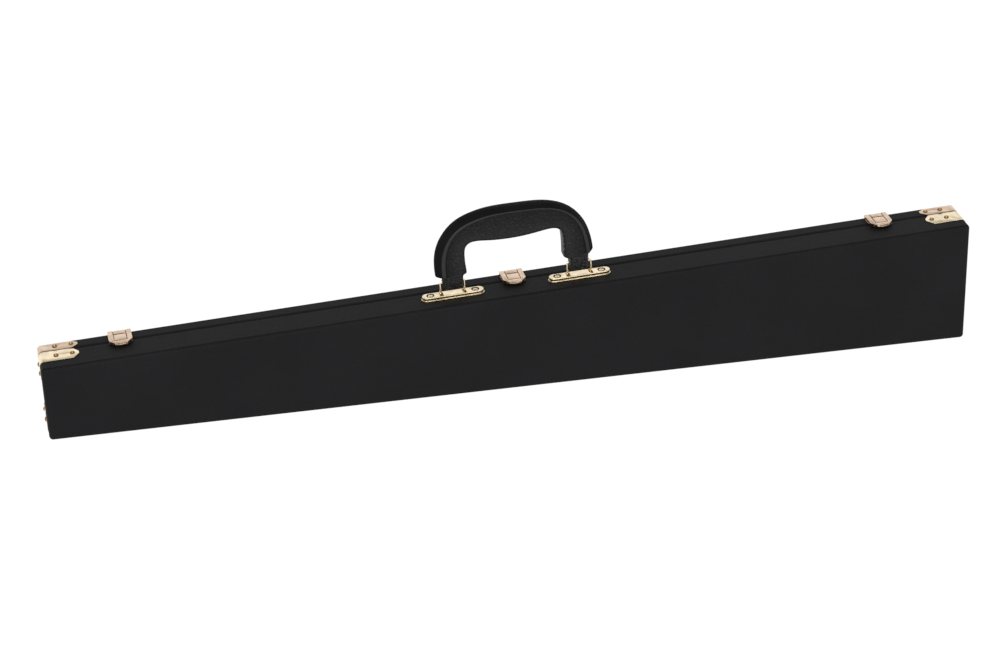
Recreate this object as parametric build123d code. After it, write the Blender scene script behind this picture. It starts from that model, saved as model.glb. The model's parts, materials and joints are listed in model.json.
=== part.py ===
from build123d import *
import os
from math import atan, atan2, cos, sin, tan

# Bow case: a long tapered box that stands on its lower long edge, handle up.
# Sizes are in millimetres. X runs along the case from its narrow to its wide end,
# Y runs from the deep base (front) to the shallow lid (back), Z is up.
# The origin is the middle of the face that the base stands on.

# Case outline, seen from the front
LENGTH = 800.0
NARROW_HEIGHT = 67.0
WIDE_HEIGHT = 110.5
BASE_DEPTH = 30.0
LID_DEPTH = 15.0
SEAM_GAP = 0.1

# Shell construction
COVER_T = 0.8
PANEL_T = 3.5
RAIL_T = 7.0
CORNER_R = 3.3
FACE_EDGE_R = 3.0
SEAM_EDGE_R = 2.75
LINING_T = 1.2
LINING_BELOW_RIM = 1.2

# Padded rests for the bow, and the turning clips on them
REST_WIDTH = 34.0
REST_TOP_BELOW_RIM = 4.0
TIP_REST_FROM_END = 62.0
FROG_REST_FROM_END = 138.0
NOTCH_RADIUS = 6.5
NOTCH_DEPTH = 11.0
NOTCH_HEIGHT = 26.0
CLIP_REACH = 21.0
CLIP_WIDTH = 9.0
CLIP_T = 2.4
CLIP_FIT = 0.08
CLIP_PIVOT_ABOVE_NOTCH = 6.0
CLIP_SCREW_R = 1.6
CLIP_SCREW_HEAD_R = 3.2
CLIP_SCREW_HEAD_T = 1.2
CLIP_SCREW_DEPTH = 12.0

# Corner plates and their nails
PLATE_T = 0.5
PLATE_LEG = 32.8
PLATE_END_LEG = {"top": 19.5, "bottom": 15.2}
BASE_PLATE_TO_FACE = 12.5
LID_PLATE_TO_FACE = 1.9
PLATE_TO_SEAM_TOP = 0.5
PLATE_TO_SEAM_BOTTOM = 2.0
PLATE_TIP_CUT = 5.0
PLATE_TIP_FLAT = 3.4
NAIL_PLACES = (14.0, 27.5)
END_NAIL_PLACE = {"top": 13.8, "bottom": 10.3}
NAIL_HEAD_R = 1.75
NAIL_HEAD_H = 0.8
NAIL_SHANK_R = 0.7
NAIL_LENGTH = 6.0

# Hinges on the lower edge
HINGE_PLACES = (-290.0, 0.0, 290.0)
HINGE_LENGTH = 30.0
HINGE_AXIS_Z = 1.4
HINGE_KNUCKLE_R = 1.3
HINGE_PIN_R = 0.6
HINGE_FIT = 0.05
HINGE_END_FIT = 0.1
HINGE_CLEARANCE = 0.15
HINGE_LEAF_TOP = 7.4
HINGE_RIVET_SPACING = 20.0
HINGE_RIVET_Z = 5.3
HINGE_RIVET_R = 1.0
HINGE_RIVET_LENGTH = 6.0

# Latches on the top edge
CENTRE_SHIFT = 1.6
NARROW_LATCH_INSET = 68.0
WIDE_LATCH_INSET = 72.0
LATCH_WIDTH = 19.5
LATCH_SHEET = 0.7
LATCH_FOOT_T = 0.8
LATCH_TOP = 3.75
LATCH_PIN_V = 11.2
LATCH_PIN_R = 0.65
LATCH_PIN_FIT = 0.05
LATCH_KNUCKLE_R = 1.4
LATCH_GAP = 0.3
WINDOW_WIDTH = 11.3
WINDOW_FRONT_V = -6.2
TONGUE_FRONT_V = 5.2
LEVER_SHOULDER_V = -5.0
LEVER_FRONT_V = -10.4
LEVER_FRONT_WIDTH = 11.0
NOSE_LIP_V = -11.6
NOSE_LIP_LOW = 1.9
CATCH_DEPTH = 1.2
LID_FOOT_V = (1.0, 12.6)
STRIKE_FOOT_V = (-9.8, -1.0)
STRIKE_FOOT_CUT = 4.2
LATCH_RIVET_R = 0.75
LATCH_RIVET_HEAD_R = 1.3
LATCH_RIVET_HEAD_H = 0.4
LATCH_RIVET_LENGTH = 6.5
LID_RIVET_PLACE = (7.4, 5.6)
STRIKE_RIVET_PLACE = (6.6, -6.0)

# Handle brackets
POST_SPACING = 109.6
BRACKET_Y = 3.0
FLANGE_LENGTH = 54.0
FLANGE_WIDTH = 10.0
FLANGE_T = 0.7
BRACKET_COVER_LENGTH = 52.8
BRACKET_COVER_WIDTH = 9.0
BRACKET_TOP = 3.4
BRACKET_EDGE_R = 0.5
BRACKET_RIVET_SPACING = 38.5
BRACKET_RECESS_R = 3.4
BRACKET_RECESS_DEPTH = 0.6
BRACKET_RIVET_HEAD_R = 2.2
BRACKET_RIVET_HEAD_H = 0.9
BRACKET_RIVET_R = 1.1
BRACKET_RIVET_LENGTH = 7.0

# Handle rings
WIRE_R = 0.9
RING_AXIS_H = 1.7
RING_WIDTH = 20.7
RING_HEIGHT = 13.4
RING_CORNER_R = 2.0
RING_FIT = 0.1
RING_SWING_ROOM = 3.7

# Handle
HANDLE_T = 17.0
HANDLE_TOP = 77.0
HANDLE_HALF_WIDTH = 68.0
HANDLE_INNER_HALF = 43.4
GRIP_LOW = 50.2
GRIP_LOW_ENDS = 53.0
SHOULDER_H = 23.5
HANDLE_OUTER_R = 3.4
ROUNDED_BELOW_TOP = 25.0
ARCH_SIDE_RISE = 14.0
ARCH_FOOT_INSET = 0.5
ARCH_BENDS = ((7.5, 21.0), (22.0, 7.6), (38.0, 1.9))
GRIP_CORNER = 9.0
GRIP_CORNER_BEND = (2.4, 2.6)
TONGUE_WIDTH = 16.5
TONGUE_T = 4.8
TONGUE_LOW = 7.2
SHOULDER_NOTCH_R = 2.4
PIVOT_FIT = 0.05
OPEN_PIVOT_FIT = 0.3
CORE_T = 3.4
CORE_WIDTH = 9.0
CORE_LOW = 9.5
CORE_TOP_INSET = 8.0
CORE_SHOULDER_RUN = 18.8
CORE_SHOULDER_DROP = 20.0
CORE_BEND_R = 8.0

# Round heads: where the side of a head turns in to its crown
DOME_EDGE = (0.8, 0.6)
DOME_CROWN = 0.4
SAME_PLACE = 0.01

# Places that follow from the sizes above
SEAM_Y = BASE_DEPTH / 2
LID_SEAM_Y = SEAM_Y + SEAM_GAP
BASE_FACE_Y = -BASE_DEPTH / 2
LID_FACE_Y = LID_SEAM_Y + LID_DEPTH
HINGE_Y = SEAM_Y + SEAM_GAP / 2
LEAN = atan((WIDE_HEIGHT - NARROW_HEIGHT) / LENGTH) / 2
END = atan2(cos(LEAN), -sin(LEAN))
TOP_NARROW = (-LENGTH / 2 - NARROW_HEIGHT * tan(LEAN), NARROW_HEIGHT)
TOP_WIDE = (LENGTH / 2 - WIDE_HEIGHT * tan(LEAN), WIDE_HEIGHT)
SLOPE = atan2(TOP_WIDE[1] - TOP_NARROW[1], TOP_WIDE[0] - TOP_NARROW[0])
TOP_LENGTH = (TOP_WIDE[0] - TOP_NARROW[0]) / cos(SLOPE)
TOP_MIDDLE = TOP_LENGTH / 2 + CENTRE_SHIFT
WALL = COVER_T + RAIL_T
FAR = 2 * LENGTH

BASE, LID = "base", "lid"
FACE_Y = {BASE: BASE_FACE_Y, LID: LID_FACE_Y}
RIM_Y = {BASE: SEAM_Y, LID: LID_SEAM_Y}
INWARD = {BASE: 1, LID: -1}


def meet(p, a, q, b):
    """Where the line through p at angle a crosses the line through q at angle b."""
    t = ((q[0] - p[0]) * sin(b) - (q[1] - p[1]) * cos(b)) / sin(b - a)
    return p[0] + t * cos(a), p[1] + t * sin(a)


def outline(bottom=0.0, top=0.0, ends=0.0):
    """The four corners of the case seen from the front, each side moved in by its own distance."""
    low = (0.0, bottom)
    high = (TOP_NARROW[0] + top * sin(SLOPE), TOP_NARROW[1] - top * cos(SLOPE))
    narrow = (-LENGTH / 2 + ends * cos(LEAN), ends * sin(LEAN))
    wide = (LENGTH / 2 - ends * cos(LEAN), -ends * sin(LEAN))
    return [
        meet(low, 0.0, narrow, END),
        meet(low, 0.0, wide, END),
        meet(high, SLOPE, wide, END),
        meet(high, SLOPE, narrow, END),
    ]


def slab(points, y0, y1):
    """A flat shape in the front view, given thickness from y0 to y1."""
    low, high = min(y0, y1), max(y0, y1)
    return extrude(Plane.XZ.offset(-high) * Polygon(*points, align=None), amount=high - low)


def between(x0, x1, z0, z1):
    """A rectangle in the front view."""
    return [(x0, z0), (x1, z0), (x1, z1), (x0, z1)]


def on_top(along, y=0.0, height=0.0):
    """A place on the sloping top edge, its X along the edge and its Z square to it."""
    x = TOP_NARROW[0] + along * cos(SLOPE) - height * sin(SLOPE)
    z = TOP_NARROW[1] + along * sin(SLOPE) + height * cos(SLOPE)
    return Plane(origin=(x, y, z), x_dir=(cos(SLOPE), 0, sin(SLOPE)), z_dir=(-sin(SLOPE), 0, cos(SLOPE)))


def limits(piece):
    """The lowest and highest X, Y and Z of a piece, roughly."""
    box = piece.bounding_box(optimal=False)
    return tuple(box.min), tuple(box.max)


def cut_by(part, tools):
    """The part with every tool that reaches it taken out."""
    low, high = limits(part)
    reaching = []
    for tool in tools:
        tool_low, tool_high = limits(tool)
        if all(a <= d and c <= b for a, b, c, d in zip(low, high, tool_low, tool_high)):
            reaching.append(tool)
    return part - reaching if reaching else part


# Shells

def rounded_tray(shell, inset):
    """One shell as a solid block with its edges rounded, drawn in on every side by the inset."""
    face = FACE_Y[shell] + INWARD[shell] * inset
    rim = RIM_Y[shell] - INWARD[shell] * inset
    block = slab(outline(inset, inset, inset), face, rim)
    block = fillet(block.edges().filter_by(Axis.Y), CORNER_R - inset)
    order = INWARD[shell]
    face_edges = block.faces().sort_by(Axis.Y)[0 if order > 0 else -1].edges()
    block = fillet(face_edges, FACE_EDGE_R - inset)
    rim_edges = block.faces().sort_by(Axis.Y)[-1 if order > 0 else 0].edges()
    return fillet(rim_edges, SEAM_EDGE_R - inset)


def compartment(shell):
    """The space inside a shell, from its panel out through its rim."""
    floor = FACE_Y[shell] + INWARD[shell] * (COVER_T + PANEL_T)
    return slab(outline(WALL, WALL, WALL), floor, RIM_Y[shell] + INWARD[shell])


def wooden_parts(shell):
    """The plywood panel and the four rails of one shell."""
    wood = rounded_tray(shell, COVER_T) - compartment(shell)
    sheet_y = FACE_Y[shell] + INWARD[shell] * (COVER_T + PANEL_T)
    whole = between(-FAR, FAR, -FAR, FAR)
    panel = wood & slab(whole, FACE_Y[shell], sheet_y)
    frame = wood - slab(whole, FACE_Y[shell], sheet_y)
    low_narrow, low_wide, high_wide, high_narrow = outline(WALL, WALL, WALL)
    run = FAR * cos(SLOPE)
    rise = FAR * sin(SLOPE)
    above = [
        (high_narrow[0] - run, high_narrow[1] - rise),
        (high_wide[0] + run, high_wide[1] + rise),
        (high_wide[0] + run, FAR),
        (high_narrow[0] - run, FAR),
    ]
    y0, y1 = FACE_Y[shell], RIM_Y[shell]
    below = slab(between(-FAR, FAR, -FAR, WALL), y0, y1)
    top_part = slab(above, y0, y1)
    ends = frame - below - top_part
    return {
        shell + "_panel": panel,
        shell + "_bottom_rail": frame & below,
        shell + "_top_rail": frame & top_part,
        shell + "_narrow_end": ends & slab(between(-FAR, 0, -FAR, FAR), y0, y1),
        shell + "_wide_end": ends & slab(between(0, FAR, -FAR, FAR), y0, y1),
    }


def covering(shell):
    """The leatherette round one shell, and its strip along the edge that the case stands on."""
    skin = rounded_tray(shell, 0.0) - rounded_tray(shell, COVER_T) - compartment(shell)
    strip = slab(between(-FAR, FAR, -COVER_T, COVER_T), FACE_Y[shell], RIM_Y[shell])
    return {shell + "_cover": skin - strip, shell + "_foot_strip": skin & strip}


def lining(shell):
    """The plush tray inside one shell."""
    floor = FACE_Y[shell] + INWARD[shell] * (COVER_T + PANEL_T)
    lip = RIM_Y[shell] - INWARD[shell] * LINING_BELOW_RIM
    inner = WALL + LINING_T
    tray = slab(outline(WALL, WALL, WALL), floor, lip)
    return tray - slab(outline(inner, inner, inner), floor + INWARD[shell] * LINING_T, RIM_Y[shell])


# Bow rests and clips

REST_FLOOR = BASE_FACE_Y + COVER_T + PANEL_T + LINING_T
REST_TOP = SEAM_Y - REST_TOP_BELOW_RIM
TIP_REST_X = -LENGTH / 2 + TIP_REST_FROM_END
FROG_REST_X = LENGTH / 2 - FROG_REST_FROM_END
CLIP_Y = REST_TOP + CLIP_FIT
CLIP_Z = NOTCH_HEIGHT + NOTCH_RADIUS + CLIP_PIVOT_ABOVE_NOTCH


def bow_rest(x):
    """A padded block across the base, with a notch that the stick of the bow lies in."""
    inner = WALL + LINING_T
    body = slab(outline(inner, inner, inner), REST_FLOOR, REST_TOP)
    body = body & slab(between(x - REST_WIDTH / 2, x + REST_WIDTH / 2, -FAR, FAR), REST_FLOOR, REST_TOP)
    bed_y = REST_TOP - NOTCH_DEPTH + NOTCH_RADIUS
    bed = Pos(x, bed_y, NOTCH_HEIGHT) * Rot(0, 90, 0) * Cylinder(NOTCH_RADIUS, 2 * REST_WIDTH)
    sides = between(x - REST_WIDTH, x + REST_WIDTH, NOTCH_HEIGHT - NOTCH_RADIUS, NOTCH_HEIGHT + NOTCH_RADIUS)
    return body - bed - slab(sides, bed_y, SEAM_Y)


def bow_clip(x):
    """A flat bar that turns on a screw and closes over the notch."""
    bar = Pos(0, -CLIP_REACH / 2) * Rectangle(CLIP_WIDTH, CLIP_REACH)
    shape = bar + Circle(CLIP_WIDTH / 2) + Pos(0, -CLIP_REACH) * Circle(CLIP_WIDTH / 2)
    shape = shape - Circle(CLIP_SCREW_R + CLIP_FIT)
    face = Plane.XZ.offset(-(CLIP_Y + CLIP_T))
    clip = extrude(face * Pos(x, CLIP_Z) * shape, amount=CLIP_T)
    return fillet(clip.faces().sort_by(Axis.Y)[-1].outer_wire().edges(), CLIP_T / 3)


def clip_screw(x):
    """The screw that a clip turns on."""
    head_y = CLIP_Y + CLIP_T + CLIP_FIT
    head = Cylinder(CLIP_SCREW_HEAD_R, CLIP_SCREW_HEAD_T, align=(Align.CENTER, Align.CENTER, Align.MIN))
    head = chamfer(head.edges().sort_by(Axis.Z)[-1], CLIP_SCREW_HEAD_T / 3)
    shank = Cylinder(CLIP_SCREW_R, CLIP_SCREW_DEPTH, align=(Align.CENTER, Align.CENTER, Align.MAX))
    seat = Plane(origin=(x, head_y, CLIP_Z), x_dir=(1, 0, 0), z_dir=(0, 1, 0))
    return seat * (head + shank)


# Corner plates

def corner_sides(end, level):
    """The two sides that meet at a corner: the point, the way along each and the way out of each."""
    low_narrow, low_wide, high_wide, high_narrow = outline()
    point = {
        ("narrow", "bottom"): low_narrow,
        ("wide", "bottom"): low_wide,
        ("wide", "top"): high_wide,
        ("narrow", "top"): high_narrow,
    }[(end, level)]
    angle = SLOPE if level == "top" else 0.0
    sign = 1 if end == "narrow" else -1
    along = (sign * cos(angle), sign * sin(angle))
    out_long = (-sin(angle), cos(angle)) if level == "top" else (0.0, -1.0)
    turn = -1 if level == "top" else 1
    up_end = (turn * -sin(LEAN), turn * cos(LEAN))
    out_end = (-sign * cos(LEAN), -sign * sin(LEAN))
    return point, ((along, out_long), (up_end, out_end))


def plate_band(level):
    """The sheet that runs right round the case at the depth of the corner plates."""
    if level == "top":
        outer = outline(0.0, -PLATE_T, -PLATE_T)
        inner = outline(0.0, 0.0, 0.0)
    else:
        outer = outline(0.0, 0.0, -PLATE_T)
        inner = outline(PLATE_T, 0.0, 0.0)
    return outer, inner


def plate_depth(shell, level):
    """The front and back edge of a corner plate."""
    margin = PLATE_TO_SEAM_TOP if level == "top" else PLATE_TO_SEAM_BOTTOM
    near_seam = RIM_Y[shell] - INWARD[shell] * margin
    near_face = FACE_Y[shell] + INWARD[shell] * (BASE_PLATE_TO_FACE if shell == BASE else LID_PLATE_TO_FACE)
    return min(near_seam, near_face), max(near_seam, near_face)


def corner_plate(shell, end, level):
    """A bent brass plate that wraps one corner, each leg ending in a blunt point."""
    y0, y1 = plate_depth(shell, level)
    outer, inner = plate_band(level)
    solid = slab(outer, y0, y1)
    solid = fillet(solid.edges().filter_by(Axis.Y), CORNER_R + PLATE_T)
    core = slab(inner, y0 - 1, y1 + 1)
    core = fillet(core.edges().filter_by(Axis.Y), CORNER_R)
    band = solid - core
    point, sides = corner_sides(end, level)
    middle = (y0 + y1) / 2
    reach = 4 * PLATE_T
    legs = []
    for length, (along, out) in zip((PLATE_LEG, PLATE_END_LEG[level]), sides):
        origin = (point[0], 0, point[1])
        frame = Plane(origin=origin, x_dir=(along[0], 0, along[1]), z_dir=(-along[1], 0, along[0]))
        shape = Polygon(
            (-2 * CORNER_R, y0),
            (length - PLATE_TIP_CUT, y0),
            (length, middle - PLATE_TIP_FLAT / 2),
            (length, middle + PLATE_TIP_FLAT / 2),
            (length - PLATE_TIP_CUT, y1),
            (-2 * CORNER_R, y1),
            align=None,
        )
        legs.append(extrude(frame * shape, amount=reach, both=True))
    return band & (legs[0] + legs[1])


def dome(radius, height):
    """A low round head, its flat side at Z = 0."""
    profile = Polygon(
        (0, 0), (radius, 0), (radius * DOME_EDGE[0], height * DOME_EDGE[1]),
        (radius * DOME_CROWN, height), (0, height),
        align=None,
    )
    return revolve(Plane.XZ * profile, Axis.Z)


def corner_nail(point, along, out, distance, y, flush):
    """A round-headed nail through a corner plate, or a flush one where the case stands on it."""
    top = 0.0 if flush else PLATE_T
    x = point[0] + along[0] * distance + out[0] * top
    z = point[1] + along[1] * distance + out[1] * top
    seat = Plane(origin=(x, y, z), x_dir=(0, 1, 0), z_dir=(out[0], 0, out[1]))
    shank = Cylinder(NAIL_SHANK_R, NAIL_LENGTH, align=(Align.CENTER, Align.CENTER, Align.MAX))
    if flush:
        sunk = NAIL_HEAD_R - NAIL_SHANK_R
        head = Pos(0, 0, -sunk / 2) * Cone(NAIL_SHANK_R, NAIL_HEAD_R, sunk)
    else:
        head = dome(NAIL_HEAD_R, NAIL_HEAD_H)
    return seat * (shank + head)


def corner_nails(shell, end, level):
    """The three nails of one corner plate: two in its long leg and one in the leg on the end."""
    y0, y1 = plate_depth(shell, level)
    point, sides = corner_sides(end, level)
    nails = []
    for side, (along, out) in enumerate(sides):
        flush = level == "bottom" and side == 0
        for distance in NAIL_PLACES if side == 0 else (END_NAIL_PLACE[level],):
            nails.append(corner_nail(point, along, out, distance, (y0 + y1) / 2, flush))
    return nails


# Hinges

def hinge_knuckle(x0, x1, radius):
    """A round bar along the hinge axis."""
    bar = Cylinder(radius, x1 - x0)
    return Pos((x0 + x1) / 2, HINGE_Y, HINGE_AXIS_Z) * Rot(0, 90, 0) * bar


def knuckle_spans(x, shell):
    """Where the knuckles of one leaf lie along the hinge."""
    third = HINGE_LENGTH / 3
    start = x - HINGE_LENGTH / 2
    base_spans = [(start, start + third - HINGE_END_FIT), (start + 2 * third + HINGE_END_FIT, start + 3 * third)]
    lid_spans = [(start + third, start + 2 * third)]
    return base_spans if shell == BASE else lid_spans


def hinge_leaf(x, shell):
    """One leaf of a small butt hinge, let in flush with the rim of its shell."""
    other = LID if shell == BASE else BASE
    rim = RIM_Y[shell]
    y0, y1 = rim - INWARD[shell] * COVER_T, rim
    leaf = slab(between(x - HINGE_LENGTH / 2, x + HINGE_LENGTH / 2, HINGE_AXIS_Z, HINGE_LEAF_TOP), y0, y1)
    room = HINGE_KNUCKLE_R + HINGE_CLEARANCE
    for x0, x1 in knuckle_spans(x, other):
        gap = between(x0 - HINGE_END_FIT, x1 + HINGE_END_FIT, 0, HINGE_AXIS_Z + room)
        leaf = leaf - slab(gap, y0 - 1, y1 + 1)
    for x0, x1 in knuckle_spans(x, shell):
        leaf = leaf + hinge_knuckle(x0, x1, HINGE_KNUCKLE_R)
    bore = HINGE_PIN_R + (HINGE_FIT if shell == LID else 0.0)
    return leaf - hinge_knuckle(x - HINGE_LENGTH, x + HINGE_LENGTH, bore)


def hinge_rivets(x, shell):
    """The flush rivets that hold a leaf to its rail."""
    rivets = []
    for side in (-1, 1):
        seat = Plane(
            origin=(x + side * HINGE_RIVET_SPACING / 2, RIM_Y[shell], HINGE_RIVET_Z),
            x_dir=(1, 0, 0),
            z_dir=(0, INWARD[shell], 0),
        )
        shank = Cylinder(HINGE_RIVET_R, HINGE_RIVET_LENGTH, align=(Align.CENTER, Align.CENTER, Align.MAX))
        rivets.append(seat * shank)
    return rivets


# Latches, each in its own frame: X along the top edge, Y back from the seam, Z out of the edge

LATCH_PIN_H = LATCH_TOP - LATCH_KNUCKLE_R
LATCH_PLACES = {
    "narrow": NARROW_LATCH_INSET,
    "middle": TOP_MIDDLE,
    "wide": TOP_LENGTH - WIDE_LATCH_INSET,
}


def latch_frame(name):
    return on_top(LATCH_PLACES[name], HINGE_Y)


def bar_along_x(radius, length, v, h):
    """A round bar across the latch."""
    return Pos(0, v, h) * Rot(0, 90, 0) * Cylinder(radius, length)


def sheet(x0, x1, v0, v1, h0, h1):
    """A plain block between three pairs of limits."""
    low = (min(x0, x1), min(v0, v1), min(h0, h1))
    size = (abs(x1 - x0), abs(v1 - v0), abs(h1 - h0))
    return Pos(*low) * Box(*size, align=(Align.MIN, Align.MIN, Align.MIN))


def latch_plate():
    """The plate on the lid: a foot and a tongue that loops round the pin."""
    half = LATCH_WIDTH / 2
    tongue = WINDOW_WIDTH / 2 - LATCH_GAP
    under = LATCH_TOP - LATCH_SHEET
    foot = sheet(-half, half, *LID_FOOT_V, 0, LATCH_FOOT_T)
    knuckle = bar_along_x(LATCH_KNUCKLE_R, 2 * tongue, LATCH_PIN_V, LATCH_PIN_H)
    web = sheet(-tongue, tongue, LATCH_PIN_V - LATCH_KNUCKLE_R, LATCH_PIN_V, 0, LATCH_PIN_H)
    leaf = sheet(-tongue, tongue, TONGUE_FRONT_V, LATCH_PIN_V, under, LATCH_TOP)
    plate = foot + web + knuckle + leaf
    return plate - bar_along_x(LATCH_PIN_R, 2 * LATCH_WIDTH, LATCH_PIN_V, LATCH_PIN_H)


def latch_lever():
    """The lever: a frame with a window, knuckles on the pin, a catch and a rounded nose."""
    half = LATCH_WIDTH / 2
    front = LEVER_FRONT_WIDTH / 2
    window = WINDOW_WIDTH / 2
    under = LATCH_TOP - LATCH_SHEET
    plan = Polygon(
        (-half, LATCH_PIN_V), (-half, LEVER_SHOULDER_V), (-front, LEVER_FRONT_V),
        (front, LEVER_FRONT_V), (half, LEVER_SHOULDER_V), (half, LATCH_PIN_V),
        align=None,
    )
    top = extrude(Plane.XY.offset(under) * plan, amount=LATCH_SHEET)
    knuckle = bar_along_x(LATCH_KNUCKLE_R, LATCH_WIDTH, LATCH_PIN_V, LATCH_PIN_H)
    frame = top + knuckle
    frame = frame - sheet(-window, window, WINDOW_FRONT_V, LATCH_PIN_V + LATCH_TOP, -1, LATCH_TOP + 1)
    catch = sheet(-window, window, WINDOW_FRONT_V, WINDOW_FRONT_V - LATCH_SHEET, under - CATCH_DEPTH, under)
    wall_v = LEVER_FRONT_V + LATCH_SHEET
    nose = sheet(-front, front, wall_v, LEVER_FRONT_V, NOSE_LIP_LOW, under)
    lip_plan = make_face([
        Line((-front, LEVER_FRONT_V), (front, LEVER_FRONT_V)),
        ThreePointArc((front, LEVER_FRONT_V), (0, NOSE_LIP_V), (-front, LEVER_FRONT_V)),
    ])
    lip = extrude(Plane.XY.offset(NOSE_LIP_LOW) * lip_plan, amount=LATCH_SHEET)
    lever = frame + catch + nose + lip
    bore = bar_along_x(LATCH_PIN_R + LATCH_PIN_FIT, 2 * LATCH_WIDTH, LATCH_PIN_V, LATCH_PIN_H)
    return lever - bore


def strike_plate():
    """The plate on the base: a foot and a raised leaf that the lever catches in front of."""
    half = LATCH_WIDTH / 2
    leaf_half = WINDOW_WIDTH / 2 - LATCH_GAP
    under = LATCH_TOP - LATCH_SHEET
    foot_back, foot_front = STRIKE_FOOT_V[1], STRIKE_FOOT_V[0]
    plan = Polygon(
        (-half, foot_back), (-half, foot_front + STRIKE_FOOT_CUT), (-half + STRIKE_FOOT_CUT, foot_front),
        (half - STRIKE_FOOT_CUT, foot_front), (half, foot_front + STRIKE_FOOT_CUT), (half, foot_back),
        align=None,
    )
    foot = extrude(plan, amount=LATCH_FOOT_T)
    riser = sheet(-leaf_half, leaf_half, foot_back, foot_back - LATCH_SHEET, 0, LATCH_TOP)
    leaf_front = WINDOW_FRONT_V + LATCH_GAP
    leaf_back = TONGUE_FRONT_V - 2 * LATCH_GAP
    leaf = sheet(-leaf_half, leaf_half, leaf_front, leaf_back, under, LATCH_TOP)
    return foot + riser + leaf


def latch_pin():
    return bar_along_x(LATCH_PIN_R, LATCH_WIDTH, LATCH_PIN_V, LATCH_PIN_H)


def small_rivet(x, v):
    """A flat-headed rivet through the foot of a latch plate."""
    head = Cylinder(LATCH_RIVET_HEAD_R, LATCH_RIVET_HEAD_H, align=(Align.CENTER, Align.CENTER, Align.MIN))
    shank = Cylinder(LATCH_RIVET_R, LATCH_RIVET_LENGTH, align=(Align.CENTER, Align.CENTER, Align.MAX))
    return Pos(x, v, LATCH_FOOT_T) * (head + shank)


# Handle brackets and rings, each in its own frame: origin on the top edge below the ring

POST_PLACES = {"narrow": TOP_MIDDLE - POST_SPACING / 2, "wide": TOP_MIDDLE + POST_SPACING / 2}


def post_frame(name):
    return on_top(POST_PLACES[name], BRACKET_Y)


def bracket_flange():
    """The thin plate under a bracket."""
    return extrude(SlotOverall(FLANGE_LENGTH, FLANGE_WIDTH), amount=FLANGE_T)


def bracket_cover():
    """The raised strap that holds a ring, with a slot for each side of its wire."""
    body = extrude(
        Plane.XY.offset(FLANGE_T) * SlotOverall(BRACKET_COVER_LENGTH, BRACKET_COVER_WIDTH),
        amount=BRACKET_TOP - FLANGE_T,
    )
    body = fillet(body.faces().sort_by(Axis.Z)[-1].edges(), BRACKET_EDGE_R)
    bar_room = WIRE_R + RING_FIT
    outer = RING_WIDTH / 2 + bar_room
    straight = RING_WIDTH / 2 - RING_CORNER_R - RING_FIT
    body = body - sheet(-outer, outer, -bar_room, bar_room, 0, RING_AXIS_H + bar_room)
    for side in (-1, 1):
        recess = Cylinder(BRACKET_RECESS_R, 2 * BRACKET_RECESS_DEPTH)
        body = body - Pos(side * BRACKET_RIVET_SPACING / 2, 0, BRACKET_TOP) * recess
        body = body - sheet(side * straight, side * outer, -RING_SWING_ROOM, RING_SWING_ROOM, 0, 2 * BRACKET_TOP)
    return body


def bracket_rivet(side):
    """A domed rivet in the round recess of a bracket."""
    seat = BRACKET_TOP - BRACKET_RECESS_DEPTH
    shank = Cylinder(BRACKET_RIVET_R, BRACKET_RIVET_LENGTH, align=(Align.CENTER, Align.CENTER, Align.MAX))
    head = dome(BRACKET_RIVET_HEAD_R, BRACKET_RIVET_HEAD_H)
    return Pos(side * BRACKET_RIVET_SPACING / 2, 0, seat) * (shank + head)


def handle_ring():
    """A rectangular loop of brass wire that stands in a bracket and carries the handle."""
    half, low, high = RING_WIDTH / 2, RING_AXIS_H, RING_AXIS_H + RING_HEIGHT
    loop = FilletPolyline(
        (half, low), (half, high), (-half, high), (-half, low), radius=RING_CORNER_R, close=True,
    )
    path = Plane.XZ * loop
    start = Plane(origin=path @ 0, z_dir=path % 0)
    return sweep(start * Circle(WIRE_R), path=path)


# Handle, in a frame whose origin is on the top edge half way between the brackets

def handle_frame():
    return on_top(TOP_MIDDLE, BRACKET_Y)


def arch_face():
    """The handle seen from the front: a flat arch with a bellied grip."""
    bends = [(HANDLE_HALF_WIDTH - inset, HANDLE_TOP - drop) for inset, drop in ARCH_BENDS]
    outer = [(HANDLE_HALF_WIDTH, SHOULDER_H + ARCH_SIDE_RISE), *bends, (0, HANDLE_TOP)]
    corner = (HANDLE_INNER_HALF, GRIP_LOW_ENDS - GRIP_CORNER)
    bend = (HANDLE_INNER_HALF - GRIP_CORNER_BEND[0], GRIP_LOW_ENDS - GRIP_CORNER_BEND[1])
    flat = (HANDLE_INNER_HALF - GRIP_CORNER, GRIP_LOW_ENDS)
    foot = (HANDLE_HALF_WIDTH - ARCH_FOOT_INSET, SHOULDER_H)
    half = [
        Line((HANDLE_INNER_HALF, SHOULDER_H), foot),
        Line(foot, outer[0]),
        Spline(*outer, tangents=[(0, 1), (-1, 0)]),
        Line((0, HANDLE_TOP), (0, GRIP_LOW)),
        Spline((0, GRIP_LOW), flat, tangents=[(1, 0), (1, 0)]),
        ThreePointArc(flat, bend, corner),
        Line(corner, (HANDLE_INNER_HALF, SHOULDER_H)),
    ]
    side = make_face(half)
    return side + mirror(side, Plane.YZ)


def handle_blank():
    """The whole handle with its tongues, before the core and the pivots are taken out."""
    arch = extrude(Plane.XZ * arch_face(), amount=HANDLE_T / 2, both=True)
    rim = [e for e in arch.edges() if abs(abs(e.center().Y) - HANDLE_T / 2) < SAME_PLACE]
    sides = HANDLE_HALF_WIDTH - 2 * ARCH_FOOT_INSET
    upper = HANDLE_TOP - ROUNDED_BELOW_TOP
    outside = [e for e in rim if e.center().Z > upper or abs(e.center().X) > sides]
    return fillet(outside, HANDLE_OUTER_R)


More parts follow.
